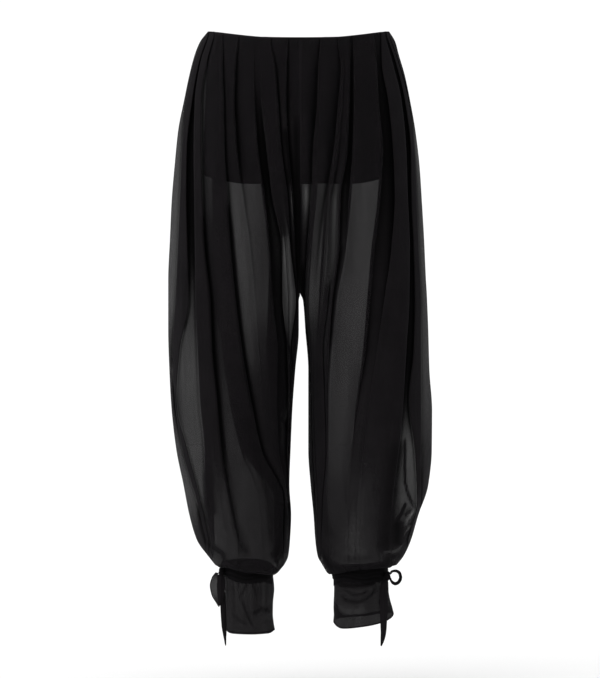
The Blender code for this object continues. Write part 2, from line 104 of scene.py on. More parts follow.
# ---------------- folds
# Front folds, outermost first. A fold has an edge that its upper ply turns back at. It
# faces "in" where the upper ply lies on its outer side, and "out" where it lies on its
# inner side. Then come, at the heights below, how far the edge lies from the centre
# line, how far the hidden plies go back under the upper one, the share of a full fold's
# depth, and how much cloth is gathered between this edge and the next one inward.
FOLD_HEIGHTS = (-3, -48, -116, -201, -277, -371, -456, -541, -626, -711, -796, -864)
FRONT_FOLDS = {"right": (
    # 0: outer roll, outer edge
    ("out", (159, 179, 194, 201, 204, 208, 212, 217, 213, 200, 176, 160),
     (1, 2, 5, 8, 9, 10, 12, 9, 5, 6, 6, 5),
     (0.3, 0.3, 0.5, 0.5, 0.5, 0.5, 0.5, 0.5, 0.4, 0.4, 0.4, 0.3),
     (3, 3, 3.2, 3.2, 3.8, 3.8, 4.2, 4.2, 3.6, 3.8, 3.8, 3)),
    # 1: outer roll, inner edge
    ("in", (156, 171, 183, 192, 193, 191, 189, 204.5, 210.5, 191, 169, 155),
     (1, 2, 4, 7, 8, 9, 9, 7, 5, 6, 6, 5), (0.8, 0.9, 1, 1, 1, 1, 0.6, 0.5, 0.4, 0.4, 0.4, 0.3),
     (3.5, 4, 3.6, 4.5, 4.5, 3, 1.45, 1.2, 1.2, 1.2, 1.25, 2.4)),
    # 2: second roll, outer edge
    ("out", (154, 169, 179, 181, 180, 179, 178, 174, 170, 162.5, 161.5, 151),
     (2, 3, 6, 8, 8, 11, 13, 14, 20, 25, 21, 8),
     (0.6, 0.7, 0.8, 1, 1, 1, 0.6, 0.6, 0.6, 0.5, 0.4, 0.3),
     (3, 3, 3.6, 3.8, 3.8, 3.8, 3.8, 3.6, 3.8, 3.4, 1.8, 1.7)),
    # 3: second roll, inner edge
    ("in", (146, 158, 167.5, 168, 166, 161.5, 152, 149, 141, 133, 118, 104),
     (3, 5, 8, 10, 13, 15, 20, 20, 17, 5, 3, 1),
     (0.8, 0.9, 0.9, 0.9, 0.9, 0.9, 0.9, 0.9, 0.8, 0.7, 0.5, 0.3),
     (1, 1, 1, 1.2, 1.6, 3, 3, 2.2, 1.7, 1.6, 1.75, 1.8)),
    # 4: third roll, inner edge
    ("in", (131, 131, 129, 127.5, 123, 118, 109, 98, 83, 65, 28, 29),
     (3, 6, 9, 14, 25, 33, 38, 31, 29, 36, 30, 24),
     (0.7, 0.8, 0.8, 0.8, 0.9, 0.9, 0.9, 0.9, 0.9, 0.8, 0.7, 0.5),
     (1, 1, 1, 1, 1, 1, 1.05, 1.35, 3.1, 3.6, 3.1, 2.5)),
    # 5: middle pleat
    ("in", (104, 109, 111, 106.5, 97, 84, 76, 70, 60, 44, 24, 25),
     (2, 4, 4, 3, 0, 0, 0, 0, 0, 0, 0, 0), (0.8, 1, 1, 1, 0.35, 0.2, 0.12, 0.1, 0, 0, 0, 0),
     (1, 1, 1, 1, 1.3, 1.5, 1.45, 2.8, 3.5, 3.5, 2.6, 2.2)),
    # 6: inner valley, outer side
    ("in", (76, 77, 76, 71, 60, 51, 46, 38, 39, 36, 21, 20),
     (0, 1, 3, 4, 4, 3, 10, 24, 16, 8, 5, 3),
     (0.1, 0.2, 0.6, 1, 1, 0.9, 0.8, 0.7, 0.6, 0.5, 0.4, 0.3),
     (1, 1, 1.6, 4, 3, 3.2, 4, 4, 4, 3.6, 3.6, 4)),
    # 7: inner valley, inner side
    ("out", (70, 69, 66, 57, 48, 31, 30, 22, 20, 22, 17, 16),
     (0, 1, 4, 10, 14, 2, 1, 1, 1, 1, 1, 1),
     (0.1, 0.2, 0.6, 1, 1, 0.8, 0.8, 0.7, 0.5, 0.4, 0.3, 0.3),
     (1, 1, 1.4, 2, 3.4, 0.8, 0.7, 1.6, 3.4, 3.4, 4, 3)),
    # 8: centre pleat
    ("in", (49, 42, 37, 31, 21, 15, 7, 16, 17, 20, 14, 12), (2, 3, 4, 8, 9, 2, 1, 1, 1, 1, 1, 1),
     (0.8, 0.9, 0.9, 0.9, 0.9, 0.7, 0.6, 0.4, 0.3, 0.3, 0.3, 0.3),
     (1, 1, 1.2, 3.5, 2.8, 3.4, 3, 3, 2.6, 3, 3.2, 3)),
    # 9: last pleat
    ("in", (20, 22, 23, 19, 12, 8, 5, 12, 15, 18, 12, 10), (1, 2, 3, 4, 3, 2, 0, 0, 0, 0, 0, 0),
     (0.8, 0.9, 0.9, 0.9, 0.9, 0.7, 0.2, 0.1, 0.1, 0.1, 0.1, 0.1),
     (1, 1, 1.2, 3.4, 3, 3.2, 3.4, 3.6, 3.6, 3.4, 3.4, 3.2)),
), "left": (
    # 0: outer roll, outer edge
    ("out", (150, 166, 184, 195, 199, 202, 206, 206, 206, 206, 206, 188),
     (1, 2, 5, 8, 10, 12, 12, 13, 13, 8, 4, 3),
     (0.3, 0.3, 0.5, 0.5, 0.5, 0.5, 0.5, 0.5, 0.5, 0.4, 0.3, 0.3),
     (4.5, 4.5, 4.5, 4.2, 4, 4, 4, 4, 4, 4, 3.4, 2.2)),
    # 1: outer roll, inner edge
    ("in", (147, 162, 178, 188, 189, 193, 195, 193, 185, 195, 199, 183),
     (1, 2, 3, 4, 5, 6, 7, 7, 7, 8, 5, 3),
     (0.8, 0.9, 1, 1, 0.9, 0.8, 0.8, 0.9, 0.9, 0.7, 0.5, 0.4),
     (4, 4, 4, 4, 3.8, 3.8, 3.8, 4, 2.6, 1, 1.1, 3.4)),
    # 2: second roll, outer edge
    ("out", (144, 157, 173, 181, 183.5, 187, 186, 181, 176, 168.5, 158, 154),
     (2, 4, 6, 8, 11, 14, 16, 18, 18, 12, 4, 0),
     (0.7, 0.8, 0.9, 1, 0.8, 0.8, 0.8, 0.9, 0.7, 0.6, 0.6, 0.15),
     (4, 4.5, 4.2, 4, 4, 3.8, 3.8, 3.8, 3.8, 3.2, 2.6, 2)),
    # 3: second roll, inner edge
    ("in", (138, 139, 150, 158, 161, 155, 143, 131, 118, 108, 102, 100),
     (2, 5, 8, 11, 12, 14, 16, 12, 4, 1, 0, 0),
     (0.8, 0.9, 1, 1, 0.9, 0.6, 0.4, 0.2, 0.08, 0.02, 0, 0),
     (2, 3, 3.6, 4, 4, 4, 4, 4, 3, 2.5, 2.1, 1.7)),
    # 4: third roll, outer edge
    ("out", (127, 131, 134, 141, 137, 127, 120, 112, 99, 87, 77, 77),
     (1, 2, 4, 5, 5, 6, 6, 5, 1.5, 0, 0, 0),
     (0.5, 0.8, 0.9, 0.9, 0.8, 0.6, 0.5, 0.5, 0.15, 0.03, 0, 0),
     (1, 1, 1, 1, 1.05, 1.05, 1.1, 1.15, 1.2, 1.4, 1.9, 2.1)),
    # 5: middle pleat, outer side
    ("in", (90, 90.5, 91, 89, 83.5, 77, 63, 54, 50, 50, 50, 52),
     (2, 3, 3, 4, 4, 1, 0, 0, 0, 0, 0, 0), (0.7, 0.9, 1, 1, 0.8, 0.4, 0.3, 0.15, 0.05, 0, 0, 0),
     (1, 1.3, 1.6, 3, 3, 2.3, 1.8, 1.9, 1.9, 1.9, 2.2, 2.4)),
    # 6: middle pleat, inner side
    ("out", (86, 85.5, 84.5, 81, 70, 67, 56, 50, 46, 47, 46, 48),
     (2, 3, 4, 5, 3, 2, 2, 1, 0, 0, 0, 0), (0.7, 0.9, 1, 1, 0.8, 0.7, 0.5, 0.3, 0.1, 0, 0, 0),
     (1, 1, 1, 1, 1, 1, 1.8, 2, 2.4, 3, 3, 2.5)),
    # 7: inner roll, outer edge
    ("out", (74, 76, 73, 66, 56, 54, 48, 39, 42, 44, 38, 36),
     (0, 1, 2, 3, 5, 8, 11, 22, 24, 25, 14, 8),
     (0.1, 0.2, 0.3, 0.4, 0.5, 0.5, 0.5, 0.5, 0.5, 0.4, 0.3, 0.3),
     (1, 1, 1, 1, 1.3, 1.25, 1.4, 2.9, 3.6, 3.8, 3.8, 3.4)),
    # 8: inner pleat
    ("in", (64, 69, 65, 57, 45, 32, 26, 24, 24, 26, 30, 30), (2, 3, 3, 3, 2, 1, 0, 0, 0, 0, 0, 0),
     (0.7, 0.9, 0.9, 0.9, 0.8, 0.4, 0.1, 0.1, 0.1, 0.1, 0.1, 0.1),
     (1, 1, 1, 1, 1.6, 1.5, 1.1, 2.8, 3.2, 3.2, 3.4, 2.4)),
    # 9: centre pleat
    ("in", (34, 31, 29, 22, 19, 12, 8, 16, 20, 22, 26, 26), (2, 4, 5, 8, 11, 7, 3, 1, 1, 1, 1, 1),
     (0.8, 1, 1, 0.9, 0.8, 0.7, 0.5, 0.3, 0.3, 0.3, 0.3, 0.3),
     (1, 1, 1, 1.4, 1.4, 4, 3, 3, 2.2, 2.3, 2.8, 2.6)),
)}
# Plies between the side seam and the first fold, at the same heights.
FRONT_FIRST_PLIES = {
    "right": (1.8, 1.3, 1.3, 1.15, 1.15, 1.05, 1.1, 1.8, 2.5, 1.45, 1.35, 3),
    "left": (4.5, 4.5, 2.8, 1.1, 1.35, 1.4, 1.45, 1.45, 1.6, 2.2, 3, 3.4),
}

# Back folds lie behind the dark bands of the front, so that the light between those
# bands comes through both. Each one runs between two of the front's edges.
BACK_FOLDS = {"right": (
    # number of a front fold, of another, share of the way from the one to the other,
    # faces, reach, share of a full fold, then the plies after it at the heights below
    (0, 1, 0.5, "out", 6, 0.6, 3, 1.8, 1.1, 1.2),
    (2, 3, 0.6, "in", 8, 0.8, 2, 1.8, 1.7, 1.5),
    (4, 3, 0.45, "in", 10, 0.9, 1.7, 1.55, 1.6, 1.5),
    (4, 3, 0.12, "in", 8, 0.8, 1.5, 1.45, 1.6, 1.5),
    (6, 7, 0.2, "in", 6, 0.7, 1.5, 1.15, 1.7, 1.6),
    (8, 7, 0.5, "in", 2, 0.4, 1.5, 1.15, 1.6, 1.6),
    (9, 8, 0.5, "in", 1, 0.3, 1.5, 1.2, 2, 2),
), "left": (
    (0, 1, 0.5, "out", 6, 0.6, 3, 1.7, 1.3, 1.2),
    (2, 3, 0.35, "in", 8, 0.8, 2, 1.8, 1.7, 1.4),
    (3, 4, 0.2, "in", 8, 0.9, 1.8, 1.7, 1.6, 1.5),
    (3, 4, 0.8, "out", 8, 0.8, 1.5, 1.5, 1.5, 1.5),
    (6, 7, 0.4, "in", 6, 0.7, 1.5, 1.5, 1.6, 1.5),
    (7, 8, 0.6, "out", 6, 0.7, 1.5, 1.5, 1.5, 1.5),
    (9, 8, 0.3, "in", 4, 0.5, 1.5, 1.5, 1.9, 1.9),
)}
BACK_PLY_HEIGHTS = (-80, -300, -600, -800)    # near the waist, at the hip, knee and blouse
BACK_OPENING = ((-640, 1.0), (-760, 0.1))     # height, share of a fold that is left there
BACK_WAIST_REACH = 0.3            # share of the reach at the waist, growing to the crotch
BACK_SWAY = (0.012, 120, 1.7)     # radians, mm to a radian of the wave, radians between folds
BACK_FIRST_PLIES = 1.0
CROTCH_HEIGHT = -456

# Soft strokes on the front panels and the cuffs: drags, slits and hollows with painted
# shade. Each has its half width, how far it sets the cloth back, its plies and its painted
# shade, and runs through points, out and up from the middle of the waist.
STROKES = {"right": (
    # the crotch and the wedge beside it
    (7, 2, 3, 0.95, (7, -130), (6.5, -183), (5, -260), (3, -390), (2.5, -440)),
    (8.5, 1.5, 1, 1, (25, -160), (21, -190), (17, -215), (15, -240), (14, -264)),
    (2.4, 0, -2.6, 0, (13.5, -256), (13.5, -290), (11.5, -320), (10, -338), (6, -365), (4, -388)),
    (5, 0, 1.3, 0.2, (35, -295), (29, -330), (27, -350)),
    (3, 0, -0.3, 0, (26, -360), (25.5, -400), (25, -450), (25, -505)),
    (2, 1, 2, 0.7, (28, -505), (21, -530), (13, -560), (9, -590)),
    # second and third roll
    (3.8, 3, 3.4, 0.95, (166, -310), (157, -390), (151, -455), (148, -507), (145, -545),
     (141, -588), (137, -628), (134, -668), (130, -712), (124, -765)),
    (4.5, 1, 1.5, 0.5, (127, -740), (116, -798), (109, -838), (100, -872), (87, -893)),
    (8, 0.5, 1.2, 0.2, (156, -745), (151, -796), (146, -825)),
    (3.6, 1, 2.8, 0.9, (126, -280), (118, -336), (112, -395), (107.5, -450), (102, -498),
     (97, -541), (91, -583), (83, -626), (74, -668)),
    # outer roll
    (4.5, 0, 1.5, 0.3, (193, -400), (195, -450), (196, -480), (200, -508)),
    (1.9, 0, -1.3, 0, (212, -512), (213, -548), (217, -575), (214, -604)),
    # below the knee and at its inner edge
    (9, -1, -0.25, 0, (95, -740), (97, -790), (101, -840)),
    (7.5, 1, 1.1, 0.3, (92, -640), (79, -700), (65, -750), (51, -796), (48, -830), (48, -880)),
    (3.5, 0, -1.3, 0, (32, -640), (30, -676), (32, -715)),
    (3, 0, -1.2, 0, (21, -770), (20, -820), (20, -870)),
    (3.2, 0, -1.7, 0, (18, -610), (20, -635), (24, -655), (31, -668)),
    (1.8, 1, 2.5, 0.7, (33, -655), (25, -668), (18, -684)),
    # blouse
    (3.6, 1.5, 2, 0.5, (172, -800), (167, -843), (158, -868), (143, -879), (131, -887),
     (126, -903)),
    (6.5, 1, 2.2, 0.6, (24, -800), (29, -845), (35, -872), (47, -897)),
    (8, -1, -1.3, 0, (28, -884), (33, -903), (40, -920)),
    # cuff: gathers, ridge, drags and hollow
    (1.8, 1.2, 1, 0.5, (89, -938), (97, -952), (105, -964)),
    (1.6, 1, 0.8, 0.4, (81, -938), (76, -950), (75, -960)),
    (1.6, 0.8, 0.7, 0.3, (104, -936), (104, -947)),
    (2.2, -1, -0.3, 0, (92, -941), (94, -958)),
    (2, 1.2, 0.8, 0.4, (101, -962), (92, -985), (84, -1003), (78, -1014)),
    (3.5, 1.5, 0.9, 0.4, (80, -990), (66, -981), (50, -984)),
    (2.4, 0.8, 0.5, 0.3, (118, -985), (104, -1000), (88, -1008)),
), "left": (
    # the crotch
    (3, 1, 2.2, 0.85, (0, -262), (0, -330), (0, -395)),
    (5.5, 1, 2.2, 0.85, (3, -385), (5, -410), (6, -455), (7, -540)),
    (3.4, 0, -0.8, 0, (10, -250), (10.5, -285), (9, -320), (8.5, -360), (8.5, -405)),
    # middle pleat, and the light beside it
    (3, 1.5, 1.8, 0.6, (73, -360), (65, -405), (58, -456), (54, -506), (50, -545)),
    (7, 0, -0.75, 0, (58, -268), (55, -330), (51, -400), (47, -440)),
    # drags down to the band, dark and light
    (1.7, 0, 3, 0.6, (178.5, -690), (178.5, -740), (179, -765), (182, -780), (187, -793),
     (194, -810)),
    (12, 1.5, 2.2, 0.5, (166, -690), (156, -760), (150, -815), (147, -850), (143, -890)),
    (7.5, 1, 4.5, 1, (166, -831), (165.5, -850), (164, -874)),
    (15, -1, -0.5, 0, (119, -740), (108, -804), (97, -835), (84, -880)),
    (14, -0.5, -0.45, 0, (60, -892), (88, -888), (116, -884)),
    (7, 1, 0.5, 0.2, (36, -790), (42, -830), (55, -862)),
    # crinkled outer corner
    (2.8, 0, -1.15, 0, (195, -813), (185, -826), (177, -842)),
    (1.3, 0, -1.7, 0, (188, -840), (175, -857)),
    (2, 1, 4.4, 0.8, (181, -800), (172, -820), (158, -843)),
    (3.2, 0, 1.6, 0.3, (189, -812), (178, -823)),
    (3.2, -1, -1.9, 0, (141, -884), (156, -885), (168, -880), (176, -868)),
    (2, -1, -1.8, 0, (147, -890), (158, -898), (168, -903)),
    (2, 1, 1.5, 0.5, (146, -885), (158, -891), (172, -887)),
    (6, 1, 2.5, 0.7, (150, -890), (152, -902), (158, -911)),
    # inner corner and underside of the blouse
    (1.8, 0, -2.4, 0, (39.5, -880), (37, -893), (37.5, -908)),
    (3.5, 1, 2.2, 0.6, (38, -878), (46, -898), (56, -914)),
    (5, 1, 3, 0.7, (36, -880), (50, -905), (72, -916), (110, -917), (135, -911), (152, -900)),
    (5, 0.8, 0.4, 0.2, (30, -850), (52, -884), (88, -897), (124, -890)),
    # cuff: crescents, ridge, hollow and drag
    (4, 1, 2.4, 0.7, (62, -938), (80, -941), (104, -941), (130, -936)),
    (2.4, 1, 1, 0.4, (76, -948), (90, -957), (106, -956), (118, -948)),
    (3, 1.8, 1, 0.4, (70, -956), (76, -964), (88, -969), (100, -969), (114, -964), (124, -954),
     (130, -942)),
    (3.4, 1.5, 0.9, 0.35, (58, -966), (64, -986), (80, -998), (104, -999), (128, -986)),
    (6, -1.5, -0.6, 0, (64, -975), (78, -984), (98, -986), (114, -980)),
    (4.5, 1, 1, 0.4, (58, -975), (62, -990), (68, -996)),
    (3, 1, 0.6, 0.3, (141, -945), (139, -962), (134, -975)),
)}
STROKE_FADE = 0.15                # of its length at each end

NOSE_RADIUS = 1.5                 # of the soft turn at a fold's edge and at its back
NOSE_SHARE = 0.35                 # of the fold's reach, which the turn never passes
TURN_DEPTHS = (0.03, 0.16, 0.30, 0.42, 0.52, 0.66, 0.80, 0.92, 1.0)   # along a fold's run
INTERVAL_COLUMNS = 13             # between one fold and the next
MOST_REACH = 0.8                  # of the ply that hides it, halved where two folds share it
LEAST_FOLD_ANGLE = radians(1.6)
LEAST_PLIES = 0.6                 # where strokes thin the cloth out
ROOT_PLIES = 2.2                  # more, where the cloth comes out from under a full fold
ROOT_WIDTH = 4.0
RISE_WIDTH = 2.6                  # from floor to crest, for each mm of the fold's depth
MOST_RISE = 0.85                  # of the way to the next fold
FLOOR_SWELL = 0.12                # of its depth, between two folds that face each other
BLEND_WIDTH = 0.6                 # of the way, over which a soft fold's plies even out
CLEAR_OVERLAP = 6                 # mm of overlap from which a fold's edge reads hard
SEAM_PLIES = 3.2                  # where two panels and their allowances lie together
SEAM_COLUMNS = 2
SEAM_HOLD = 14                    # how fast wrinkles grow away from a seam, per radian
SILHOUETTE = cos(radians(8))      # folds die out this near to the side
FULL_PAINTED_SHADE = 0.85                # of a full fold's depth, where a valley's painted shade is at its darkest
VALLEY_PAINTED_SHADE = 0.85               # painted shade: how much darker a valley's colour is made there
TOP_EDGE_PLIES = 3.0              # more, above this height, where the edge is turned in
TOP_EDGE = -2
WRINKLES = (
    # width, height, shift of the noise, share: fine upright streaks, then slow unevenness
    (5.5, 55, 0.0, 0.45),
    (26, 95, 7.3, 0.9),
)
WRINKLE_DEPTH = 0.16              # times the root of a full fold's depth
WRINKLE_RADIUS = 150              # mm for each radian of a panel
CREPE_SEEDS = {"right": {"front": 1.0, "back": 32.0}, "left": {"front": 11.0, "back": 42.0}}

# ---------------- ankles
ANKLES = {
    # ring of the wound tie: centre, half width, half depth
    "right": (89, 43.5, 42),
    "left": (102, 47.5, 41),
}
TIE_EDGES = {"right": (
    # angle from the outer side through the front, then the wound tie's top and bottom
    (0, -900, -917), (45, -903, -928), (68, -909, -933), (90, -915, -935), (135, -915, -933),
    (180, -910, -928), (225, -901, -927), (270, -898, -927), (315, -899, -923), (360, -900, -917),
), "left": (
    (0, -899, -930), (45, -903, -933), (90, -910, -934), (135, -912, -933), (180, -911, -929),
    (225, -908, -930), (270, -908, -931), (315, -903, -930), (360, -899, -930),
)}
TIE_ROWS = 14
TIE_COLUMNS = 120
TIE_PLIES = 7.0
TIE_BULGE = 1.4                   # in its middle, from edges that are turned in
TIE_EDGE_INSET = 0.7
TIE_ROUGHNESS = 0.25
TIE_DRIFT = ((0.13, 2, 0.6), (0.08, 5, 0.0))  # of its creases: share, turns, start in radians
# Creases of the wound tie, each set in and darkened with painted shade.
TIE_CREASES = {
    # share of the way down, depth, width as a share
    "right": ((0.36, 1, 0.09), (0.66, 0.8, 0.08)),
    "left": ((0.3, 0.6, 0.07), (0.52, 0.5, 0.06), (0.76, 0.7, 0.08)),
}

# The blouse hangs over the tie, turns under and rises into it.
BLOUSE_TURN = (
    # beyond the tie's ring, how far it hangs below the tie's top as a share, pleats' share
    (9, 0.75, 0.8), (6, 1, 0.6), (3, 0.9, 0.5), (1.6, 0.3, 0.4), (0.3, -0.6, 0.3),
    (-2.2, 0.4, 0.2), (-2.4, 3, 0.1),
)
BLOUSE_HANG = {"right": 7.5, "left": 8.5}     # at the sides
BLOUSE_LEAST_HANG = 1.5
BLOUSE_TURNED = 6                 # mm in from the outermost, where it is turned fully in
NECK_PLIES = 4.0                  # more, where the blouse turns in under itself
# painted shade, where the blouse turns in under itself
NECK_PAINTED_SHADE = 0.75

CUFFS = {"right": (
    # drop below the tie's top, ring centre, half width, half depth
    (5.3, 89, 41.5, 40), (23, 87, 42.5, 39), (40, 85.5, 42, 38.5), (62, 86, 40.5, 37),
    (84, 86, 40, 36), (100, 85, 40.5, 36), (111, 84, 41.5, 36.5),
), "left": (
    (5.3, 102, 45.5, 39), (23, 102, 44.5, 38), (36, 104, 46, 38.5), (50, 104, 46.5, 38),
    (64, 105, 48, 38), (76, 107, 49.5, 38.5), (87, 108, 51.5, 39),
)}
CUFF_HEMS = {"right": (
    # angle, height of the hem
    (0, -1016.5), (45, -1020), (90, -1021), (135, -1019), (180, -1016), (225, -1024.5),
    (270, -1027), (315, -1025), (360, -1016.5),
), "left": (
    (0, -988), (45, -1000), (90, -1008), (135, -1012), (180, -1002), (225, -998), (270, -996),
    (315, -990), (360, -988),
)}
CUFF_START = 6
CUFF_ROWS = 60
CUFF_COLUMNS = 180
CUFF_PLIES = {"right": 1.72, "left": 1.7}
CUFF_TURN = ((1.004, 0.4, 3.0), (1.0, 1.2, 3.0), (0.978, 1.3, 2.4))   # share, in, times plies
CUFF_TURN_RISE = 0.2              # mm for each mm in
CUFF_TOP_PLIES = 1.6              # more, just under the tie
CUFF_TOP_SHARE = 0.16             # of the way down, where they have gone
CUFF_GATHERS = {"right": 1.0, "left": 0.35}
GATHER_START, GATHER_RISE, GATHER_FADE = 0.3, 4, 0.8          # shares, down the cuff
CUFF_WAVES = (
    # turns round the cuff, change down it, shift of the noise, depth, plies
    (3.2, 0.7, 0.0, 1.6, 0.3),
    (8, 1, 3, 1.1, 0.35),
)
CUFF_SEEDS = {"right": 23.0, "left": 29.0}
HEM_HEIGHTS = {"right": (3, 3), "left": (20, 4)}      # in front and behind
HEM_PLIES = 2.9

# Ribbons: places along the middle of each, outward, forward and upward from the band's
# outer end at its top, with the width there, how far its face is turned, and its plies.
BAND_TOPS = {"right": -906, "left": -911}
TIE_LOOPS = {"right": (
    (1, 22, -14, 8, 60, 6), (1, 26, -20, 12, 80, 6), (1, 26.5, -34, 14, 87, 5.5),
    (1.5, 25, -48, 12, 88, 5), (3, 22, -60, 6, 90, 5), (5, 19, -70, 0.6, 90, 4.5),
    (8, 16, -61, 6, 90, 3.2), (11.5, 14, -48, 13, 90, 2.3), (13, 13.5, -34, 15, 90, 2.2),
    (12, 14, -22, 11, 88, 2.4), (8.5, 17, -12, 6, 70, 4),
), "left": (
    (3.1, 22.8, -9.4, 7, 30, 8), (7, 22, -5, 9, 33, 8), (12.5, 22, -4.2, 9, 36, 8),
    (18.5, 22, -7.5, 9, 36, 8), (20.5, 22, -14.5, 9, 36, 8), (18, 22, -21.5, 9, 36, 8),
    (12, 22, -25, 9, 36, 8), (6.5, 22, -22, 8, 33, 8), (3.1, 22.8, -15.5, 7, 30, 8),
)}
TIE_TAILS = {"right": (
    (1, 17, -16.4, 5, 30, 6), (0, 15, -30, 8, 60, 6), (-1.5, 13.5, -55, 10, 75, 5),
    (-2.8, 13.5, -80, 10, 78, 4.6), (-4, 13.5, -103, 9, 75, 4.6), (-5.3, 13.5, -120, 6, 60, 5),
    (-6.6, 13, -136, 2.6, 40, 6),
), "left": (
    (-2.8, 25.5, -18, 7, 70, 7), (-7, 30, -25, 12, 80, 7), (-8, 32.5, -45, 14, 82, 6),
    (-8, 34, -65, 14, 82, 4.5), (-8.2, 35, -85, 12, 80, 4.5), (-8.6, 35, -105, 10, 75, 5),
    (-10, 34.5, -118, 7.5, 72, 5), (-12.4, 34, -130, 2.4, 70, 6),
)}
RIBBON_ROWS = 90
RIBBON_COLUMNS = 14
RIBBON_EDGE = 0.82                # of the half width, where the rolled edge starts
RIBBON_EDGE_PLIES = 2.2
RIBBON_CURL = (0.10, 0.4)         # share of the width, and how much of it the middle sinks
RIBBON_CREASE = (0.05, 0.16)      # depth as a share of the width, and how wide
RIBBON_ROUGHNESS = 0.35
RIBBON_NOISE = (1.6, 0.16)        # across half the width, and for each row
KNOT_SIZE = (5.2, 5.8, 8.0)       # out, forward, up
KNOT_PLACES = {"right": (0.2, 20.3, -10.5), "left": (-1.6, 23.5, -12.0)}
KNOT_STEPS = 24
KNOT_RIDGE = 0.09                 # height of the folds wound over it, as a share
KNOT_ROUGHNESS = 0.05
KNOT_POLE = 0.985                 # how near its points come to the top and the bottom

# ---------------- the lining
# On the form of its solids: what its half width and depths grow by from the waist. Its
# hem is lower than theirs at the inside of each leg, where the photo shows it level.
LINING_HEM = {"front": -262, "back": -251}
LINING_HEM_SIDE = -243
LINING_HEM_INSIDE = -257
LINING_CROTCH_GAP = 1.5
LINING_INSET = 4.2                # from the ring of the waist to the lining
LINING_DROP = 0.5                 # below the panels' top edge
LINING_ROWS = 44
LINING_COLUMNS = 64
LINING_TURN_UP = ((-0.3, 0.4), (0.6, 1.0), (14, 1.1))         # up from the hem, in
LINING_SECTIONS = (
    # height, ease out, parting, ease front, ease back
    (0, 0, 0, 0, 0), (-20, 1.5, 0.02, 1, 1), (-60, 5, 0.1, 4, 7), (-120, 8, 0.28, 8, 14),
    (-180, 10, 0.52, 9, 16), (-225, 11, 0.8, 8, 14), (-245, 11, 0.94, 6, 11), (-262, 10, 1, 4, 8),
)
LINING_DIP_SHARES = ((0, 1.0), (-20, 0.8), (-60, 0.5), (-120, 0.2), (-180, 0.0))
LINING_WRINKLE = (110, 1.4, 0.8)  # mm for each radian, stretch upward, depth
LINING_SEAM_HOLD = 8              # how fast its wrinkles grow away from a seam, per radian
LINING_TOP_HOLD = 2               # and down from the waist, for each share of the way
LINING_SEEDS = {"right": {"front": 3.0, "back": 44.0}, "left": {"front": 17.0, "back": 58.0}}

# ---------------- cloth
PLY_TRANSMISSION = 0.235          # light straight through one ply of the crepe
# How thick a ply is for light: this much evenly, and these shares of grain and streaks.
EVEN_SHARE, GRAIN_SHARE, STREAK_SHARE = 0.56, 0.62, 0.26
STREAK_BUMP = 1.6
CREPE_COLOUR = (0.0055, 0.0048, 0.0054)
LINING_COLOUR = (0.0045, 0.0040, 0.0045)
# The tie's colour is half the crepe's: painted shade for the dimmer light at the ankles.
TIE_COLOUR = (0.0026, 0.0023, 0.0027)
DYE_STOPS = (0.3, 0.7)
CLOTH_SOCKETS = {"Specular IOR Level": 0.03, "Sheen Roughness": 0.6,
                 "Sheen Tint": (0.9, 0.88, 1.0, 1.0)}


# ---------------- reading the tables
def smooth_read(rows, column, place):
    """Read a column of a table at a place, along a curve that doesn't overshoot."""
    places = [row[0] for row in rows]
    values = [row[column] for row in rows]
    way = 1 if places[-1] > places[0] else -1
    if (place - places[0]) * way <= 0:
        return values[0]
    if (place - places[-1]) * way >= 0:
        return values[-1]
    at = next(i for i, after in enumerate(places[1:]) if (place - after) * way <= 0)
    slopes = [(values[i + 1] - values[i]) / (places[i + 1] - places[i])
              for i in range(len(rows) - 1)]

    def tangent(i):
        if i in (0, len(slopes)):
            return slopes[min(i, len(slopes) - 1)]
        before, after = slopes[i - 1], slopes[i]
        return 0.0 if before * after <= 0 else 2 * before * after / (before + after)

    step = places[at + 1] - places[at]
    t = (place - places[at]) / step
    return ((2 * t**3 - 3 * t**2 + 1) * values[at]
            + (t**3 - 2 * t**2 + t) * step * tangent(at)
            + (-2 * t**3 + 3 * t**2) * values[at + 1]
            + (t**3 - t**2) * step * tangent(at + 1))


def read_at(places, values, place):
    """Read values that stand at places, as a fold's do at FOLD_HEIGHTS."""
    return smooth_read(list(zip(places, values)), 1, place)


def read_all(rows, place):
    """Read every column of a table at a place."""
    return [smooth_read(rows, column, place) for column in range(1, len(rows[0]))]


def seam_angle(centre, half_width):
    """Where a ring ends at the centre seam."""
    return acos(max(-1.0, min(1.0, (CAD_SEAM_GAP / 2 - centre) / half_width)))


def section_at(side, height):
    """The ring of a leg at a height: centre, half width, depths and where it ends."""
    outer, inner, front, back = read_all(SECTIONS[side], height)
    centre, half_width = (outer + inner) / 2, (outer - inner) / 2
    return {"height": height, "centre": centre, "half_width": half_width,
            "front": front, "back": back, "end": seam_angle(centre, half_width)}


def on_ring(centre, half_width, depth, angle, beyond=0.0):
    """Out and forward of a point on a ring, or this far beyond it."""
    return (centre + (half_width + beyond) * cos(angle),
            (depth + beyond) * sin(angle))


def arc_radius(section, facing, angle):
    """How many mm of ring go by for each radian at an angle."""
    return hypot(section["half_width"] * sin(angle), section[facing] * cos(angle))


def seen_to_real(section, facing, seen):
    """The angle on a ring at which the camera sees a distance from the centre."""
    nearer = -FACING[facing] * section[facing] * MM
    distance = seen
    for _ in range(4):
        cosine = max(-1.0, min(1.0, (distance - section["centre"]) / section["half_width"]))
        angle = acos(cosine)
        distance = seen * (1 - nearer * sin(angle) / CAMERA_DISTANCE)
    return angle


def seen_height(section, facing, angle):
    """The height in the plane of the side seams that a point of the ring is seen at."""
    nearer = -FACING[facing] * section[facing] * sin(angle) * MM
    return EYE + (section["height"] - EYE) * CAMERA_DISTANCE / (CAMERA_DISTANCE - nearer)


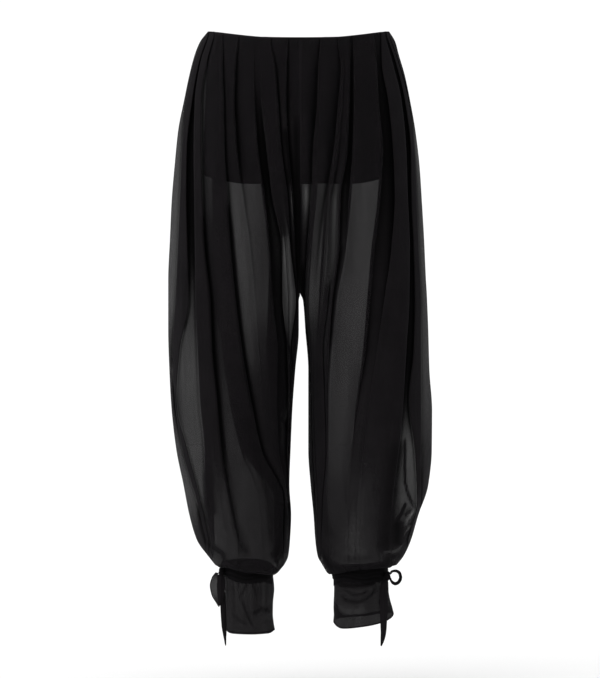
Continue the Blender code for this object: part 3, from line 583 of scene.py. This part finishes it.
def front_folds(side, section):
    """The folds of a front panel at a section, as angles and mm."""
    folds = []
    for faces, line, *values in FRONT_FOLDS[side]:
        height = section["height"]
        angle = seen_to_real(section, "front", read_at(FOLD_HEIGHTS, line, height))
        height = seen_height(section, "front", angle)
        angle = seen_to_real(section, "front", read_at(FOLD_HEIGHTS, line, height))
        reach, depth, plies = (read_at(FOLD_HEIGHTS, value, height) for value in values)
        folds.append({"angle": angle, "faces": faces, "reach": reach, "depth": depth,
                      "plies": plies})
    return folds


def back_folds(side, section):
    """The folds of a back panel at a section."""
    folds = []
    height = section["height"]
    grown = min(1.0, BACK_WAIST_REACH + min(1.0, max(0.0, height / CROTCH_HEIGHT)))
    left = smooth_read(BACK_OPENING, 1, height)
    sway, wave, step = BACK_SWAY
    for i, (first, other, share, faces, reach, depth, *plies) in enumerate(BACK_FOLDS[side]):
        seen = height
        for _ in range(2):
            start, end = (read_at(FOLD_HEIGHTS, FRONT_FOLDS[side][edge][1], seen)
                          for edge in (first, other))
            angle = seen_to_real(section, "back", start + (end - start) * share)
            seen = seen_height(section, "back", angle)
        folds.append({"angle": angle + sway * sin(height / wave + step * i),
                      "faces": faces, "reach": reach * grown * left, "depth": depth * left,
                      "plies": read_at(BACK_PLY_HEIGHTS, plies, height)})
    return folds


# ---------------- the run of the cloth
def spread_apart(folds, end):
    """Keep the folds in order, and none closer to its neighbour than the least angle."""
    least = min(LEAST_FOLD_ANGLE, end / (len(folds) + 2))
    floor, ceiling = 0.0, end
    for fold in folds:
        floor = fold["angle"] = max(fold["angle"], floor + least)
    for fold in reversed(folds):
        ceiling = fold["angle"] = min(fold["angle"], ceiling - least)


def limit_reaches(folds, section, facing):
    """Turn each reach into an angle that stays under the ply that hides it."""
    stops = [0.0, *(fold["angle"] for fold in folds), section["end"]]
    for i, fold in enumerate(folds):
        inward = fold["faces"] == "out"
        room = stops[i + 2] - stops[i + 1] if inward else stops[i + 1] - stops[i]
        other = i + 1 if inward else i - 1
        shared = 0 <= other < len(folds) and folds[other]["faces"] != fold["faces"]
        most = room * (MOST_REACH / 2 if shared else MOST_REACH)
        radius = arc_radius(section, facing, fold["angle"])
        fold["reach"] = min(most, fold["reach"] / radius)
        fold["nose"] = min(NOSE_RADIUS / radius, NOSE_SHARE * fold["reach"])


def softness(fold, radius):
    """1 where the plies of a fold hardly overlap, 0 from a clear overlap on."""
    return 1 - min(1.0, fold["reach"] * radius / CLEAR_OVERLAP) if fold else 0.0


def fold_points(fold, full_depth, radius, outer_plies, inner_plies):
    """The run of the cloth round one fold, from its outer side to its inner side."""
    inward = fold["faces"] == "in"
    depth, reach, nose = fold["depth"] * full_depth, fold["reach"], fold["nose"]
    middle = 1 + (max(1.0, (outer_plies + inner_plies) / 2) - 1) * softness(fold, radius)
    near, far = (outer_plies, inner_plies) if inward else (inner_plies, outer_plies)
    gathers = [near, (near + middle) / 2, *[middle] * 5, (middle + far) / 2, far]
    run = (nose, 0.0, nose, reach / 2, reach - nose, reach, reach - nose, reach / 2, 0.0)
    back = -1 if inward else 1
    points = [(fold["angle"] + back * away, depth * share, plies)
              for away, share, plies in zip(run, TURN_DEPTHS, gathers)]
    return points if inward else points[::-1]


def interval_points(start, end, before, after, plies, full_depth, radius):
    """The open cloth between two folds: it rises from a floor to a crest, or stays a floor."""
    outer_plies, plies, inner_plies = plies
    width = max(1e-6, (end - start) * radius)
    start_depth = before["depth"] * full_depth if before and before["faces"] == "in" else 0.0
    end_depth = after["depth"] * full_depth if after and after["faces"] == "out" else 0.0
    ends = ((start_depth, softness(before, radius) / 2, outer_plies),
            (end_depth, softness(after, radius) / 2, inner_plies))
    points = []
    for column in range(1, INTERVAL_COLUMNS + 1):
        t = column / (INTERVAL_COLUMNS + 1)
        inset, root = 0.0, 0.0
        for (depth, _, _), away in zip(ends, (t, 1 - t)):
            rise = min(MOST_RISE, RISE_WIDTH * depth / width)
            if depth and away < rise:
                inset += depth * (1 - away / rise) ** 2
            root += depth * exp(-(away * width / ROOT_WIDTH) ** 2)
        if start_depth and end_depth:
            inset = start_depth + (end_depth - start_depth) * t
            inset *= 1 - FLOOR_SWELL * sin(pi * t)
        gathered = plies + ROOT_PLIES / full_depth * root
        for (_, soft, beyond), away in zip(ends, (t, 1 - t)):
            gathered += soft * (beyond - plies) * max(0.0, 1 - away / BLEND_WIDTH) ** 1.5
        points.append((start + (end - start) * t, inset, gathered))
    return points


def panel_columns(side, facing, section):
    """Angle, inset and plies of every column of a panel, from side seam to centre seam."""
    height, end = section["height"], section["end"]
    if facing == "front":
        folds = front_folds(side, section)
        first_plies = read_at(FOLD_HEIGHTS, FRONT_FIRST_PLIES[side], height)
    else:
        folds = back_folds(side, section)
        first_plies = BACK_FIRST_PLIES
    spread_apart(folds, end)
    limit_reaches(folds, section, facing)
    full_depth = smooth_read(FOLD_DEPTHS, 1, height)
    plies = [first_plies, first_plies, *(fold["plies"] for fold in folds), folds[-1]["plies"]]
    columns = [(0.0, 0.0, SEAM_PLIES)]
    for i, (before, after) in enumerate(zip([None, *folds], [*folds, None])):
        start = before["angle"] if before else 0.0
        if before and before["faces"] == "out":
            start += before["nose"]
        finish = after["angle"] if after else end
        if after and after["faces"] == "in":
            finish -= after["nose"]
        radius = arc_radius(section, facing, (start + finish) / 2)
        columns += interval_points(start, finish, before, after, plies[i:i + 3], full_depth,
                                   radius)
        if after:
            radius = arc_radius(section, facing, after["angle"])
            columns += fold_points(after, full_depth, radius, plies[i + 1], plies[i + 2])
    columns.append((end, 0.0, SEAM_PLIES))
    for column in range(-SEAM_COLUMNS, SEAM_COLUMNS):
        columns[column] = (*columns[column][:2], SEAM_PLIES)
    return columns


# ---------------- meshes
def place(side, facing, out, forward, up):
    """Turn outward, forward and up millimetres into the frame's own axes."""
    return Vector((OUTWARD[side] * out, FACING[facing] * forward, up)) * MM


def shares(steps):
    """From 0 to 1 in this many steps."""
    return [step / steps for step in range(steps + 1)]


def around(columns):
    """Angles round an ankle, from its outer side through the front."""
    return [2 * pi * column / columns for column in range(columns)]


def ring_noise(turns, angle, up):
    """Noise that closes on itself round an ankle."""
    return noise.noise(Vector((turns * cos(angle), turns * sin(angle), up)))


def grid(entry, levels, columns):
    """Rows of entries, each made from a level and a column."""
    return [[entry(level, column) for column in columns] for level in levels]


def sheet_object(name, rows, outward, finish, closed=False):
    """A thin sheet through rows of (point, plies, painted shade), which it keeps on its points.
    """
    mesh = bpy.data.meshes.new(name)
    across = len(rows[0])
    entries = [entry for row in rows for entry in row]
    faces = []
    for r in range(len(rows) - 1):
        for c in range(across if closed else across - 1):
            d = (c + 1) % across
            corners = [r * across + c, r * across + d, (r + 1) * across + d, (r + 1) * across + c]
            faces.append(corners if outward else corners[::-1])
    mesh.from_pydata([point for point, _, _ in entries], [], faces)
    for column, attribute in ((1, "plies"), (2, "painted_cavity_shade")):
        kept = mesh.attributes.new(attribute, "FLOAT", "POINT")
        kept.data.foreach_set("value", [entry[column] for entry in entries])
    mesh.shade_smooth()
    mesh.materials.append(finish)
    piece = bpy.data.objects.new(name, mesh)
    bpy.context.scene.collection.objects.link(piece)
    return piece


def sink(section, facing, angle, inset):
    """Out and forward of a point that lies behind the ring, by how far the front shows it."""
    half_width = section["half_width"]
    across = half_width * cos(angle)
    radius = max(half_width - inset, min(half_width, abs(across) / SILHOUETTE))
    depth = section[facing] - (half_width - radius)
    return section["centre"] + across, depth * sqrt(max(0.0, 1 - (across / radius) ** 2))


def wrinkle(seed, across, up, amount):
    """Crinkles of thin cloth, in mm."""
    return amount * sum(share * noise.noise(Vector((across / wide, up / high, seed + shift)))
                        for wide, high, shift, share in WRINKLES)


def stroke_share(points, half, out, up):
    """How strongly a stroke marks a place: 1 on its line, fading to its sides and ends."""
    if not all(min(line) - 3 * half < at < max(line) + 3 * half
               for line, at in zip(zip(*points), (out, up))):
        return 0.0
    nearest, along, run = inf, 0.0, 0.0
    for a, b in zip(points, points[1:]):
        length = dist(a, b)
        t = ((out - a[0]) * (b[0] - a[0]) + (up - a[1]) * (b[1] - a[1])) / length ** 2
        t = max(0.0, min(1.0, t))
        away = hypot(out - a[0] - t * (b[0] - a[0]), up - a[1] - t * (b[1] - a[1]))
        if away < nearest:
            nearest, along = away, run + t * length
        run += length
    ends = min(1.0, along / (STROKE_FADE * run), (run - along) / (STROKE_FADE * run))
    return exp(-(nearest / half) ** 2) * ends * (2 - ends)


def stroked(side, out, up, forward):
    """What the strokes add at a point: mm set back, plies and painted shade."""
    nearness = CAMERA_DISTANCE / (CAMERA_DISTANCE - forward * MM)
    back, more, painted_shade = 0.0, 0.0, 0.0
    for half, set_back, plies, painted_dark, *points in STROKES[side]:
        near = stroke_share(points, half, out * nearness, EYE + (up - EYE) * nearness)
        back, more, painted_shade = back + set_back * near, more + plies * near, max(painted_shade, painted_dark * near)
    return back, more, painted_shade


def waist_dip(side, facing, dips, height, forward):
    """How much lower the front of the waist lies."""
    if facing == "back":
        return 0.0
    near = min(1.0, forward / SECTIONS[side][0][3])
    return WAIST_DIP * smooth_read(dips, 1, height) * near ** 2


def tie_edge(side, column, angle):
    """Height of the wound tie's top (1) or bottom (2) edge, by angle round the ankle."""
    return smooth_read(TIE_EDGES[side], column, degrees(angle) % 360)


# ---------------- the pleated panels
def blouse_rows(side, facing, columns):
    """Rows where the blouse hangs over the tie, turns under and rises into it."""
    front = facing == "front"

    def entry(turn, column):
        (beyond, hang, pleat), (angle, inset, plies) = turn, column
        turned = min(1.0, (BLOUSE_TURN[0][0] - beyond) / BLOUSE_TURNED)
        out, forward = on_ring(*ANKLES[side], angle, beyond - inset * pleat)
        if hang > 0:
            hang *= BLOUSE_LEAST_HANG + BLOUSE_HANG[side] * abs(cos(angle)) ** 1.5
        up = tie_edge(side, 1, angle if front else 2 * pi - angle) - hang
        # painted shade under the turn of the blouse
        painted_shade = NECK_PAINTED_SHADE * turned
        if front:
            _, more, painted_dark = stroked(side, out, up, forward)
            plies, painted_shade = max(LEAST_PLIES, plies + more), max(painted_shade, painted_dark)
        point = place(side, facing, out, max(0.0, forward), up)
        return point, plies + NECK_PLIES * turned, painted_shade

    return grid(entry, BLOUSE_TURN, columns)


def panel_rows(side, facing):
    """Rows of an outer panel, from the turned top edge down into the wound tie."""
    bottom = SECTIONS[side][-1][0]
    rows = []
    for height in (0, *TURNED_EDGE, *range(-ROW_STEP, bottom, -ROW_STEP), bottom):
        section = section_at(side, height)
        ring = section["centre"], section["half_width"], section[facing]
        columns = panel_columns(side, facing, section)
        full_depth = smooth_read(FOLD_DEPTHS, 1, height)
        edge = TOP_EDGE_PLIES if height > TOP_EDGE else 0.0
        row = []
        for angle, inset, plies in columns:
            # painted shade: the colour darkens with how deep the valley lies
            painted_cavity_shade = min(1.0, inset / (FULL_PAINTED_SHADE * full_depth)) ** 1.5
            if facing == "front":
                out, forward = on_ring(*ring, angle)
                up = height - waist_dip(side, facing, DIP_SHARES, height, forward)
                # the strokes' painted shade darkens the colour too
                back, more, painted_shade = stroked(side, out, up, forward)
                inset, plies = inset + back, max(LEAST_PLIES, plies + more)
                painted_cavity_shade = max(painted_cavity_shade, painted_shade)
            hold = min(1.0, SEAM_HOLD * angle, SEAM_HOLD * (section["end"] - angle))
            inset += hold * wrinkle(CREPE_SEEDS[side][facing], angle * WRINKLE_RADIUS, height,
                                    WRINKLE_DEPTH * full_depth ** 0.5)
            out, forward = sink(section, facing, angle, inset)
            if angle == section["end"] and angle < pi:
                out = 0.0
            up = height - waist_dip(side, facing, DIP_SHARES, height, forward)
            row.append((place(side, facing, max(0.0, out), forward, up), plies + edge, painted_cavity_shade))
        rows.append(row)
    return rows + blouse_rows(side, facing, columns)


def quarter(name, rows_of, side, facing, finish):
    """One of the four quarters of a layer of cloth."""
    outward = OUTWARD[side] * FACING[facing] < 0
    return sheet_object(f"{name}_{facing}_{side}", rows_of(side, facing), outward, finish)


def build_panels():
    """The four outer panels of sheer crepe."""
    pieces = []
    for side, facing in QUARTERS:
        piece = quarter("crepe", panel_rows, side, facing, CREPE)
        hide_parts(f"{facing}_{side}")
        pieces.append(piece)
    return pieces


# ---------------- the lining
def lining_rows(side, facing):
    """Rows of a lining quarter, with a hem turned up inside it."""
    waist, bottom = SECTIONS[side][0], LINING_SECTIONS[-1][0]
    back = facing == "back"
    radius, stretch, amount = LINING_WRINKLE

    def entry(level, across):
        level, tuck = level
        ease_out, parting, *ease_deep = read_all(LINING_SECTIONS, level)
        share = level / bottom
        outer = waist[1] + ease_out - LINING_INSET
        inner = LINING_CROTCH_GAP * parting - outer * (1 - parting) / (1 + parting)
        depth = waist[3 + back] + ease_deep[back] - LINING_INSET
        ring = (outer + inner) / 2, (outer - inner) / 2, depth
        end = seam_angle(*ring[:2])
        angle = end * across / LINING_COLUMNS
        fade = min(1.0, LINING_TOP_HOLD * share,
                   LINING_SEAM_HOLD * angle, LINING_SEAM_HOLD * (end - angle))
        inset = tuck + fade * wrinkle(LINING_SEEDS[side][facing], angle * radius,
                                      level * stretch, amount)
        out, forward = on_ring(*ring, angle, -inset)
        if angle == end and parting < 1:
            out = 0.0
        forward = max(0.0, forward)
        beside = LINING_HEM_SIDE if cos(angle) > 0 else LINING_HEM_INSIDE
        hem = beside + (LINING_HEM[facing] - beside) * sin(angle) ** 2
        up = hem * share - waist_dip(side, facing, LINING_DIP_SHARES, level, forward)
        return place(side, facing, max(0.0, out), forward, up - LINING_DROP), 1.0, 0.0

    levels = [(bottom * share, 0.0) for share in shares(LINING_ROWS)]
    levels += [(bottom + up, tuck) for up, tuck in LINING_TURN_UP]
    return grid(entry, levels, range(LINING_COLUMNS + 1))


def build_linings():
    """The short opaque lining, in quarters."""
    pieces = []
    for side, facing in QUARTERS:
        piece = quarter("short", lining_rows, side, facing, LINING)
        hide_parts(f"lining_{facing}_{side}")
        pieces.append(piece)
    return pieces


# ---------------- ankles
def wound_tie(side):
    """The tie wound once round the ankle: gathered lengthwise, its edges turned under."""
    def entry(share, angle):
        top, bottom = tie_edge(side, 1, angle), tie_edge(side, 2, angle)
        bulge = TIE_BULGE * sin(pi * share) ** 0.6 - TIE_EDGE_INSET
        drift = sum(share_of * sin(angle * turns + start) for share_of, turns, start in TIE_DRIFT)
        painted_shade = 0.0
        for crease, depth, width in TIE_CREASES[side]:
            fold = exp(-((share - crease - drift) / width) ** 2)
            # a crease is set in, and its colour darkened as painted shade
            bulge, painted_shade = bulge - depth * fold, max(painted_shade, fold)
        bulge += TIE_ROUGHNESS * noise.noise(Vector((angle * 5, share * 5, 5.0)))
        out, forward = on_ring(*ANKLES[side], angle, bulge)
        return place(side, "front", out, forward, top + (bottom - top) * share), TIE_PLIES, painted_shade

    return grid(entry, shares(TIE_ROWS), around(TIE_COLUMNS))


def cuff_rows(side):
    """The hemmed tube below the tie: its gathers fan out from the tie and fade."""
    table = CUFFS[side]

    def entry(level, angle):
        share, tuck, thick = level
        drop = table[0][0] + (table[-1][0] - table[0][0]) * share
        gather = (CUFF_GATHERS[side] * min(1.0, GATHER_START + GATHER_RISE * share)
                  * (1 - GATHER_FADE * share))
        waves, fullness = 0.0, 1.0
        for turns, change, shift, deep, plies in CUFF_WAVES:
            wave = ring_noise(turns, angle, CUFF_SEEDS[side] + shift + share * change)
            waves, fullness = waves + deep * wave, fullness + plies * gather * wave
        fullness = (CUFF_PLIES[side] * fullness
                    + CUFF_TOP_PLIES * max(0.0, 1 - share / CUFF_TOP_SHARE) ** 2)
        out, forward = on_ring(*read_all(table, drop), angle, gather * waves - tuck)
        top = tie_edge(side, 1, angle) - CUFF_START
        hem = smooth_read(CUFF_HEMS[side], 1, degrees(angle))
        up = top + (hem - top) * share + tuck * CUFF_TURN_RISE
        # painted shade from the strokes in front darkens the cuff's colour
        painted_shade = 0.0
        if forward > 0:
            back, more, painted_shade = stroked(side, out, up, forward)
            fullness += more
            forward -= back * sin(angle)
        if (1 - share) * (top - hem) < HEM_HEIGHTS[side][0 if sin(angle) > 0 else 1]:
            fullness = HEM_PLIES
        return place(side, "front", out, forward, up), fullness * thick, painted_shade

    levels = [(share, 0.0, 1.0) for share in shares(CUFF_ROWS)]
    return grid(entry, [*levels, *CUFF_TURN], around(CUFF_COLUMNS))


def ribbon_rows(side, table, lies_flat=False):
    """A soft ribbon along a run of places: creased along its middle, its edges curled."""
    centre, half_width, _ = ANKLES[side]
    origin = Vector((centre + half_width, 0.0, BAND_TOPS[side]))
    stations = [(i, *station) for i, station in enumerate(table)]
    tracks = [read_all(stations, i * (len(table) - 1) / RIBBON_ROWS)
              for i in range(RIBBON_ROWS + 1)]
    middles = [origin + Vector(track[:3]) for track in tracks]
    rows = []
    for i, (middle, (*_, width, turn, plies)) in enumerate(zip(middles, tracks)):
        along = (middles[min(i + 1, RIBBON_ROWS)] - middles[max(i - 1, 0)]).normalized()
        turn = radians(turn)
        sideways = along.cross(Vector((0, 1, 0))) if lies_flat else Vector((1, 0, 0))
        across = sideways * sin(turn) + Vector((0, cos(turn), 0.0))
        across = (across - along * across.dot(along)).normalized()
        up = along.cross(across)
        row = []
        for column in range(RIBBON_COLUMNS + 1):
            t = 2 * column / RIBBON_COLUMNS - 1
            curl = (RIBBON_CURL[0] * width * (t * t - RIBBON_CURL[1])
                    - RIBBON_CREASE[0] * width * exp(-(t / RIBBON_CREASE[1]) ** 2))
            curl += RIBBON_ROUGHNESS * noise.noise(Vector((t * RIBBON_NOISE[0],
                                                           i * RIBBON_NOISE[1], width)))
            point = middle + across * (t * width / 2) + up * curl
            rolled = RIBBON_EDGE_PLIES if abs(t) > RIBBON_EDGE else 0.0
            row.append((place(side, "front", *point), plies + rolled, 0.0))
        rows.append(row)
    return rows


def knot_rows(side):
    """A small knot: a rounded block with the cloth's folds wound over it."""
    centre, half_width, _ = ANKLES[side]
    out, forward, up = KNOT_PLACES[side]
    wide, deep, high = KNOT_SIZE

    def entry(share, angle):
        latitude = pi * (share - 0.5) * KNOT_POLE
        ridge = 1 + KNOT_RIDGE * sin(6 * latitude + 2 * sin(angle))
        ridge += KNOT_ROUGHNESS * ring_noise(3, angle, latitude * 2)
        size = cos(latitude) ** 0.8 * ridge
        point = place(side, "front", centre + half_width + out + wide * size * cos(angle),
                      forward + deep * size * sin(angle),
                      BAND_TOPS[side] + up - high * sin(latitude))
        return point, TIE_PLIES, 0.0

    return grid(entry, shares(KNOT_STEPS), around(2 * KNOT_STEPS))


def build_ankles():
    """Wound ties, cuffs, knots, loops and free ends."""
    pieces = []
    for side in OUTWARD:
        mirrored = OUTWARD[side] > 0
        loop_rows = ribbon_rows(side, TIE_LOOPS[side], lies_flat=side == "left")
        tail_rows = ribbon_rows(side, TIE_TAILS[side])
        tie = sheet_object(f"tie_wound_{side}", wound_tie(side), mirrored, RIBBON, closed=True)
        cuff = sheet_object(f"cuff_hemmed_{side}", cuff_rows(side), mirrored, CREPE, closed=True)
        knot = sheet_object(f"knot_wound_{side}", knot_rows(side), mirrored, RIBBON, closed=True)
        loop = sheet_object(f"loop_soft_{side}", loop_rows, mirrored, CREPE)
        tail = sheet_object(f"tail_soft_{side}", tail_rows, mirrored, CREPE)
        for piece, replaced, slot in ((tie, "ankle_band", "ribbon"), (cuff, "cuff", "chiffon"),
                                      (knot, "tie_knot", "ribbon"), (loop, "tie_loop", "ribbon"),
                                      (tail, "tie_tail", "ribbon")):
            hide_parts(f"{replaced}_{side}")
            pieces.append(piece)
    return pieces


# ---------------- materials
def feed(tree, socket, value):
    """Link a socket to where its value comes from, or set it."""
    if isinstance(value, bpy.types.NodeSocket):
        tree.links.new(value, socket)
    else:
        socket.default_value = value


def node(tree, kind, *values, **named):
    """Add a node: values for its first sockets, then sockets and properties by name."""
    made = tree.nodes.new("ShaderNode" + kind)
    for key, value in named.items():
        if key in made.inputs:
            feed(tree, made.inputs[key], value)
        else:
            setattr(made, key, value)
    for socket, value in zip(made.inputs, values):
        feed(tree, socket, value)
    return made


def maths(tree, operation, first, second):
    """One sum in a node tree, of sockets or plain numbers."""
    return node(tree, "Math", first, second, operation=operation).outputs[0]


def clouds(tree, where, scale, detail, **named):
    """A soft noise over the cloth."""
    made = node(tree, "TexNoise", Vector=where, Scale=scale, Detail=detail, **named)
    return made.outputs["Fac"]


def kept_value(tree, attribute):
    """What the mesh keeps on its points."""
    made = node(tree, "Attribute", attribute_name=attribute, attribute_type="GEOMETRY")
    return made.outputs["Fac"]


def bumped(tree, shader, height, strength, distance):
    """Let a height stand out of the surface."""
    bump = node(tree, "Bump", Strength=strength, Distance=distance, Height=height)
    tree.links.new(bump.outputs["Normal"], shader.inputs["Normal"])


def dye_and_painted_shade_material(name, colour, roughness, sheen, scale, spread, painted_shade=0.0):
    """A matte cloth with a slight unevenness of the dye, and painted shade that darkens its
    valleys.

    Values that are the same all over sit on the shader's own sockets.
    """
    material = bpy.data.materials.new(name)
    material.use_nodes = True
    tree = material.node_tree
    shader = tree.nodes["Principled BSDF"]
    for socket, value in {"Base Color": (*colour, 1.0), "Roughness": roughness,
                          "Sheen Weight": sheen, **CLOTH_SOCKETS}.items():
        shader.inputs[socket].default_value = value
    where = node(tree, "TexCoord").outputs["Object"]
    ramp = node(tree, "ValToRGB", Fac=clouds(tree, where, scale=scale, detail=4.0))
    for stop, at, turn in zip(ramp.color_ramp.elements, DYE_STOPS, (-1, 1)):
        stop.position = at
        stop.color = (*(c * (1 + turn * spread) for c in colour), 1.0)
    last = ramp.outputs["Color"]
    # painted shade: the colour is darkened by the shade value that the mesh keeps on its points
    if painted_shade:
        kept_after_painted_shade = maths(tree, "SUBTRACT", 1.0,
                    maths(tree, "MULTIPLY", kept_value(tree, "painted_cavity_shade"), painted_shade))
        last = node(tree, "VectorMath", last, operation="SCALE", Scale=kept_after_painted_shade).outputs["Vector"]
    tree.links.new(last, shader.inputs["Base Color"])
    return material, tree, shader, where


def crepe_material():
    """Sheer crinkled crepe: a ply lets some light straight through, as its yarns stand."""
    material, tree, shader, where = dye_and_painted_shade_material(
        "crepe", CREPE_COLOUR, roughness=0.85, sheen=0.01, scale=22.0, spread=0.14,
        painted_shade=VALLEY_PAINTED_SHADE)
    grain = clouds(tree, where, scale=700.0, detail=2.0)
    upright = node(tree, "Mapping", Vector=where, Scale=(1.0, 1.0, 0.09)).outputs["Vector"]
    streaks = clouds(tree, upright, scale=120.0, detail=3.0)
    uneven = maths(tree, "ADD", maths(tree, "MULTIPLY", grain, GRAIN_SHARE),
                   maths(tree, "MULTIPLY", streaks, STREAK_SHARE))
    thick = maths(tree, "MULTIPLY", kept_value(tree, "plies"),
                  maths(tree, "ADD", uneven, EVEN_SHARE))
    through = maths(tree, "POWER", PLY_TRANSMISSION, thick)
    tree.links.new(maths(tree, "SUBTRACT", 1.0, through), shader.inputs["Alpha"])
    crinkle = clouds(tree, where, scale=420.0, detail=3.0, Roughness=0.6)
    height = maths(tree, "ADD", crinkle, maths(tree, "MULTIPLY", streaks, STREAK_BUMP))
    bumped(tree, shader, height, strength=0.45, distance=0.0008)
    return material


def woven_material(name, colour, roughness, sheen, yarn, painted_shade=0.0):
    """An opaque plain weave, in crossing yarns that stand a little proud."""
    material, tree, shader, where = dye_and_painted_shade_material(name, colour, roughness, sheen, scale=30.0,
                                                  spread=0.18, painted_shade=painted_shade)
    yarns = [node(tree, "TexWave", bands_direction=direction, Vector=where, Scale=yarn,
                  Distortion=0.6).outputs["Fac"] for direction in ("X", "Z")]
    height = maths(tree, "ADD", maths(tree, "MAXIMUM", *yarns),
                   clouds(tree, where, scale=260.0, detail=3.0))
    bumped(tree, shader, height, strength=0.35, distance=0.0005)
    return material


# ---------------- room
def build_room():
    """A pale floor, soft light from all round with more from the front left, and a camera."""
    scene = bpy.context.scene
    mesh = bpy.data.meshes.new("studio_floor")
    mesh.from_pydata([(x * FLOOR_HALF, y * FLOOR_HALF, FLOOR_HEIGHT)
                      for x, y in ((-1, -1), (1, -1), (1, 1), (-1, 1))], [], [(0, 1, 2, 3)])
    floor = bpy.data.objects.new("studio_floor", mesh)
    scene.collection.objects.link(floor)
    mesh.materials.append(dye_and_painted_shade_material("studio_white", FLOOR_COLOUR, roughness=0.9, sheen=0.0,
                                        scale=1.5, spread=0.005)[0])

    world = scene.world = bpy.data.worlds.new("studio")
    world.use_nodes = True
    tree = world.node_tree
    background = tree.nodes["Background"].inputs
    background["Color"].default_value = (1, 1, 1, 1)
    direction = node(tree, "TexCoord").outputs["Generated"]
    glow = SKY_LEVEL
    for aim, power, strength in SKY_GLOWS:
        toward = node(tree, "VectorMath", direction, Vector(aim).normalized(),
                      operation="DOT_PRODUCT").outputs["Value"]
        soft = maths(tree, "POWER", maths(tree, "MAXIMUM", toward, 0.0), power)
        glow = maths(tree, "ADD", maths(tree, "MULTIPLY", soft, strength), glow)
    seen = node(tree, "LightPath").outputs["Is Camera Ray"]
    lighting = maths(tree, "MULTIPLY", maths(tree, "SUBTRACT", 1.0, seen), glow)
    backdrop = maths(tree, "MULTIPLY", seen, SKY_STRENGTH)
    tree.links.new(maths(tree, "ADD", lighting, backdrop), background["Strength"])

    camera = bpy.data.cameras.new("camera")
    camera.sensor_fit = "VERTICAL"
    camera.sensor_height = SENSOR
    camera.lens = SENSOR * CAMERA_DISTANCE / FRAME_HEIGHT
    eye = bpy.data.objects.new("camera", camera)
    eye.location = (0, -CAMERA_DISTANCE, CAMERA_HEIGHT)
    eye.rotation_euler = (pi / 2, 0, 0)
    scene.collection.objects.link(eye)
    scene.camera = eye
    scene.view_settings.view_transform = "Standard"


CREPE = crepe_material()
LINING = woven_material("lining", LINING_COLOUR, roughness=0.8, sheen=0.01, yarn=520.0)
# painted shade in the tie's creases darkens its colour
RIBBON = woven_material("tie", TIE_COLOUR, roughness=0.75, sheen=0.006, yarn=420.0, painted_shade=0.8)

build_room()
for made in (*build_panels(), *build_linings(), *build_ankles()):
    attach(made, "root")
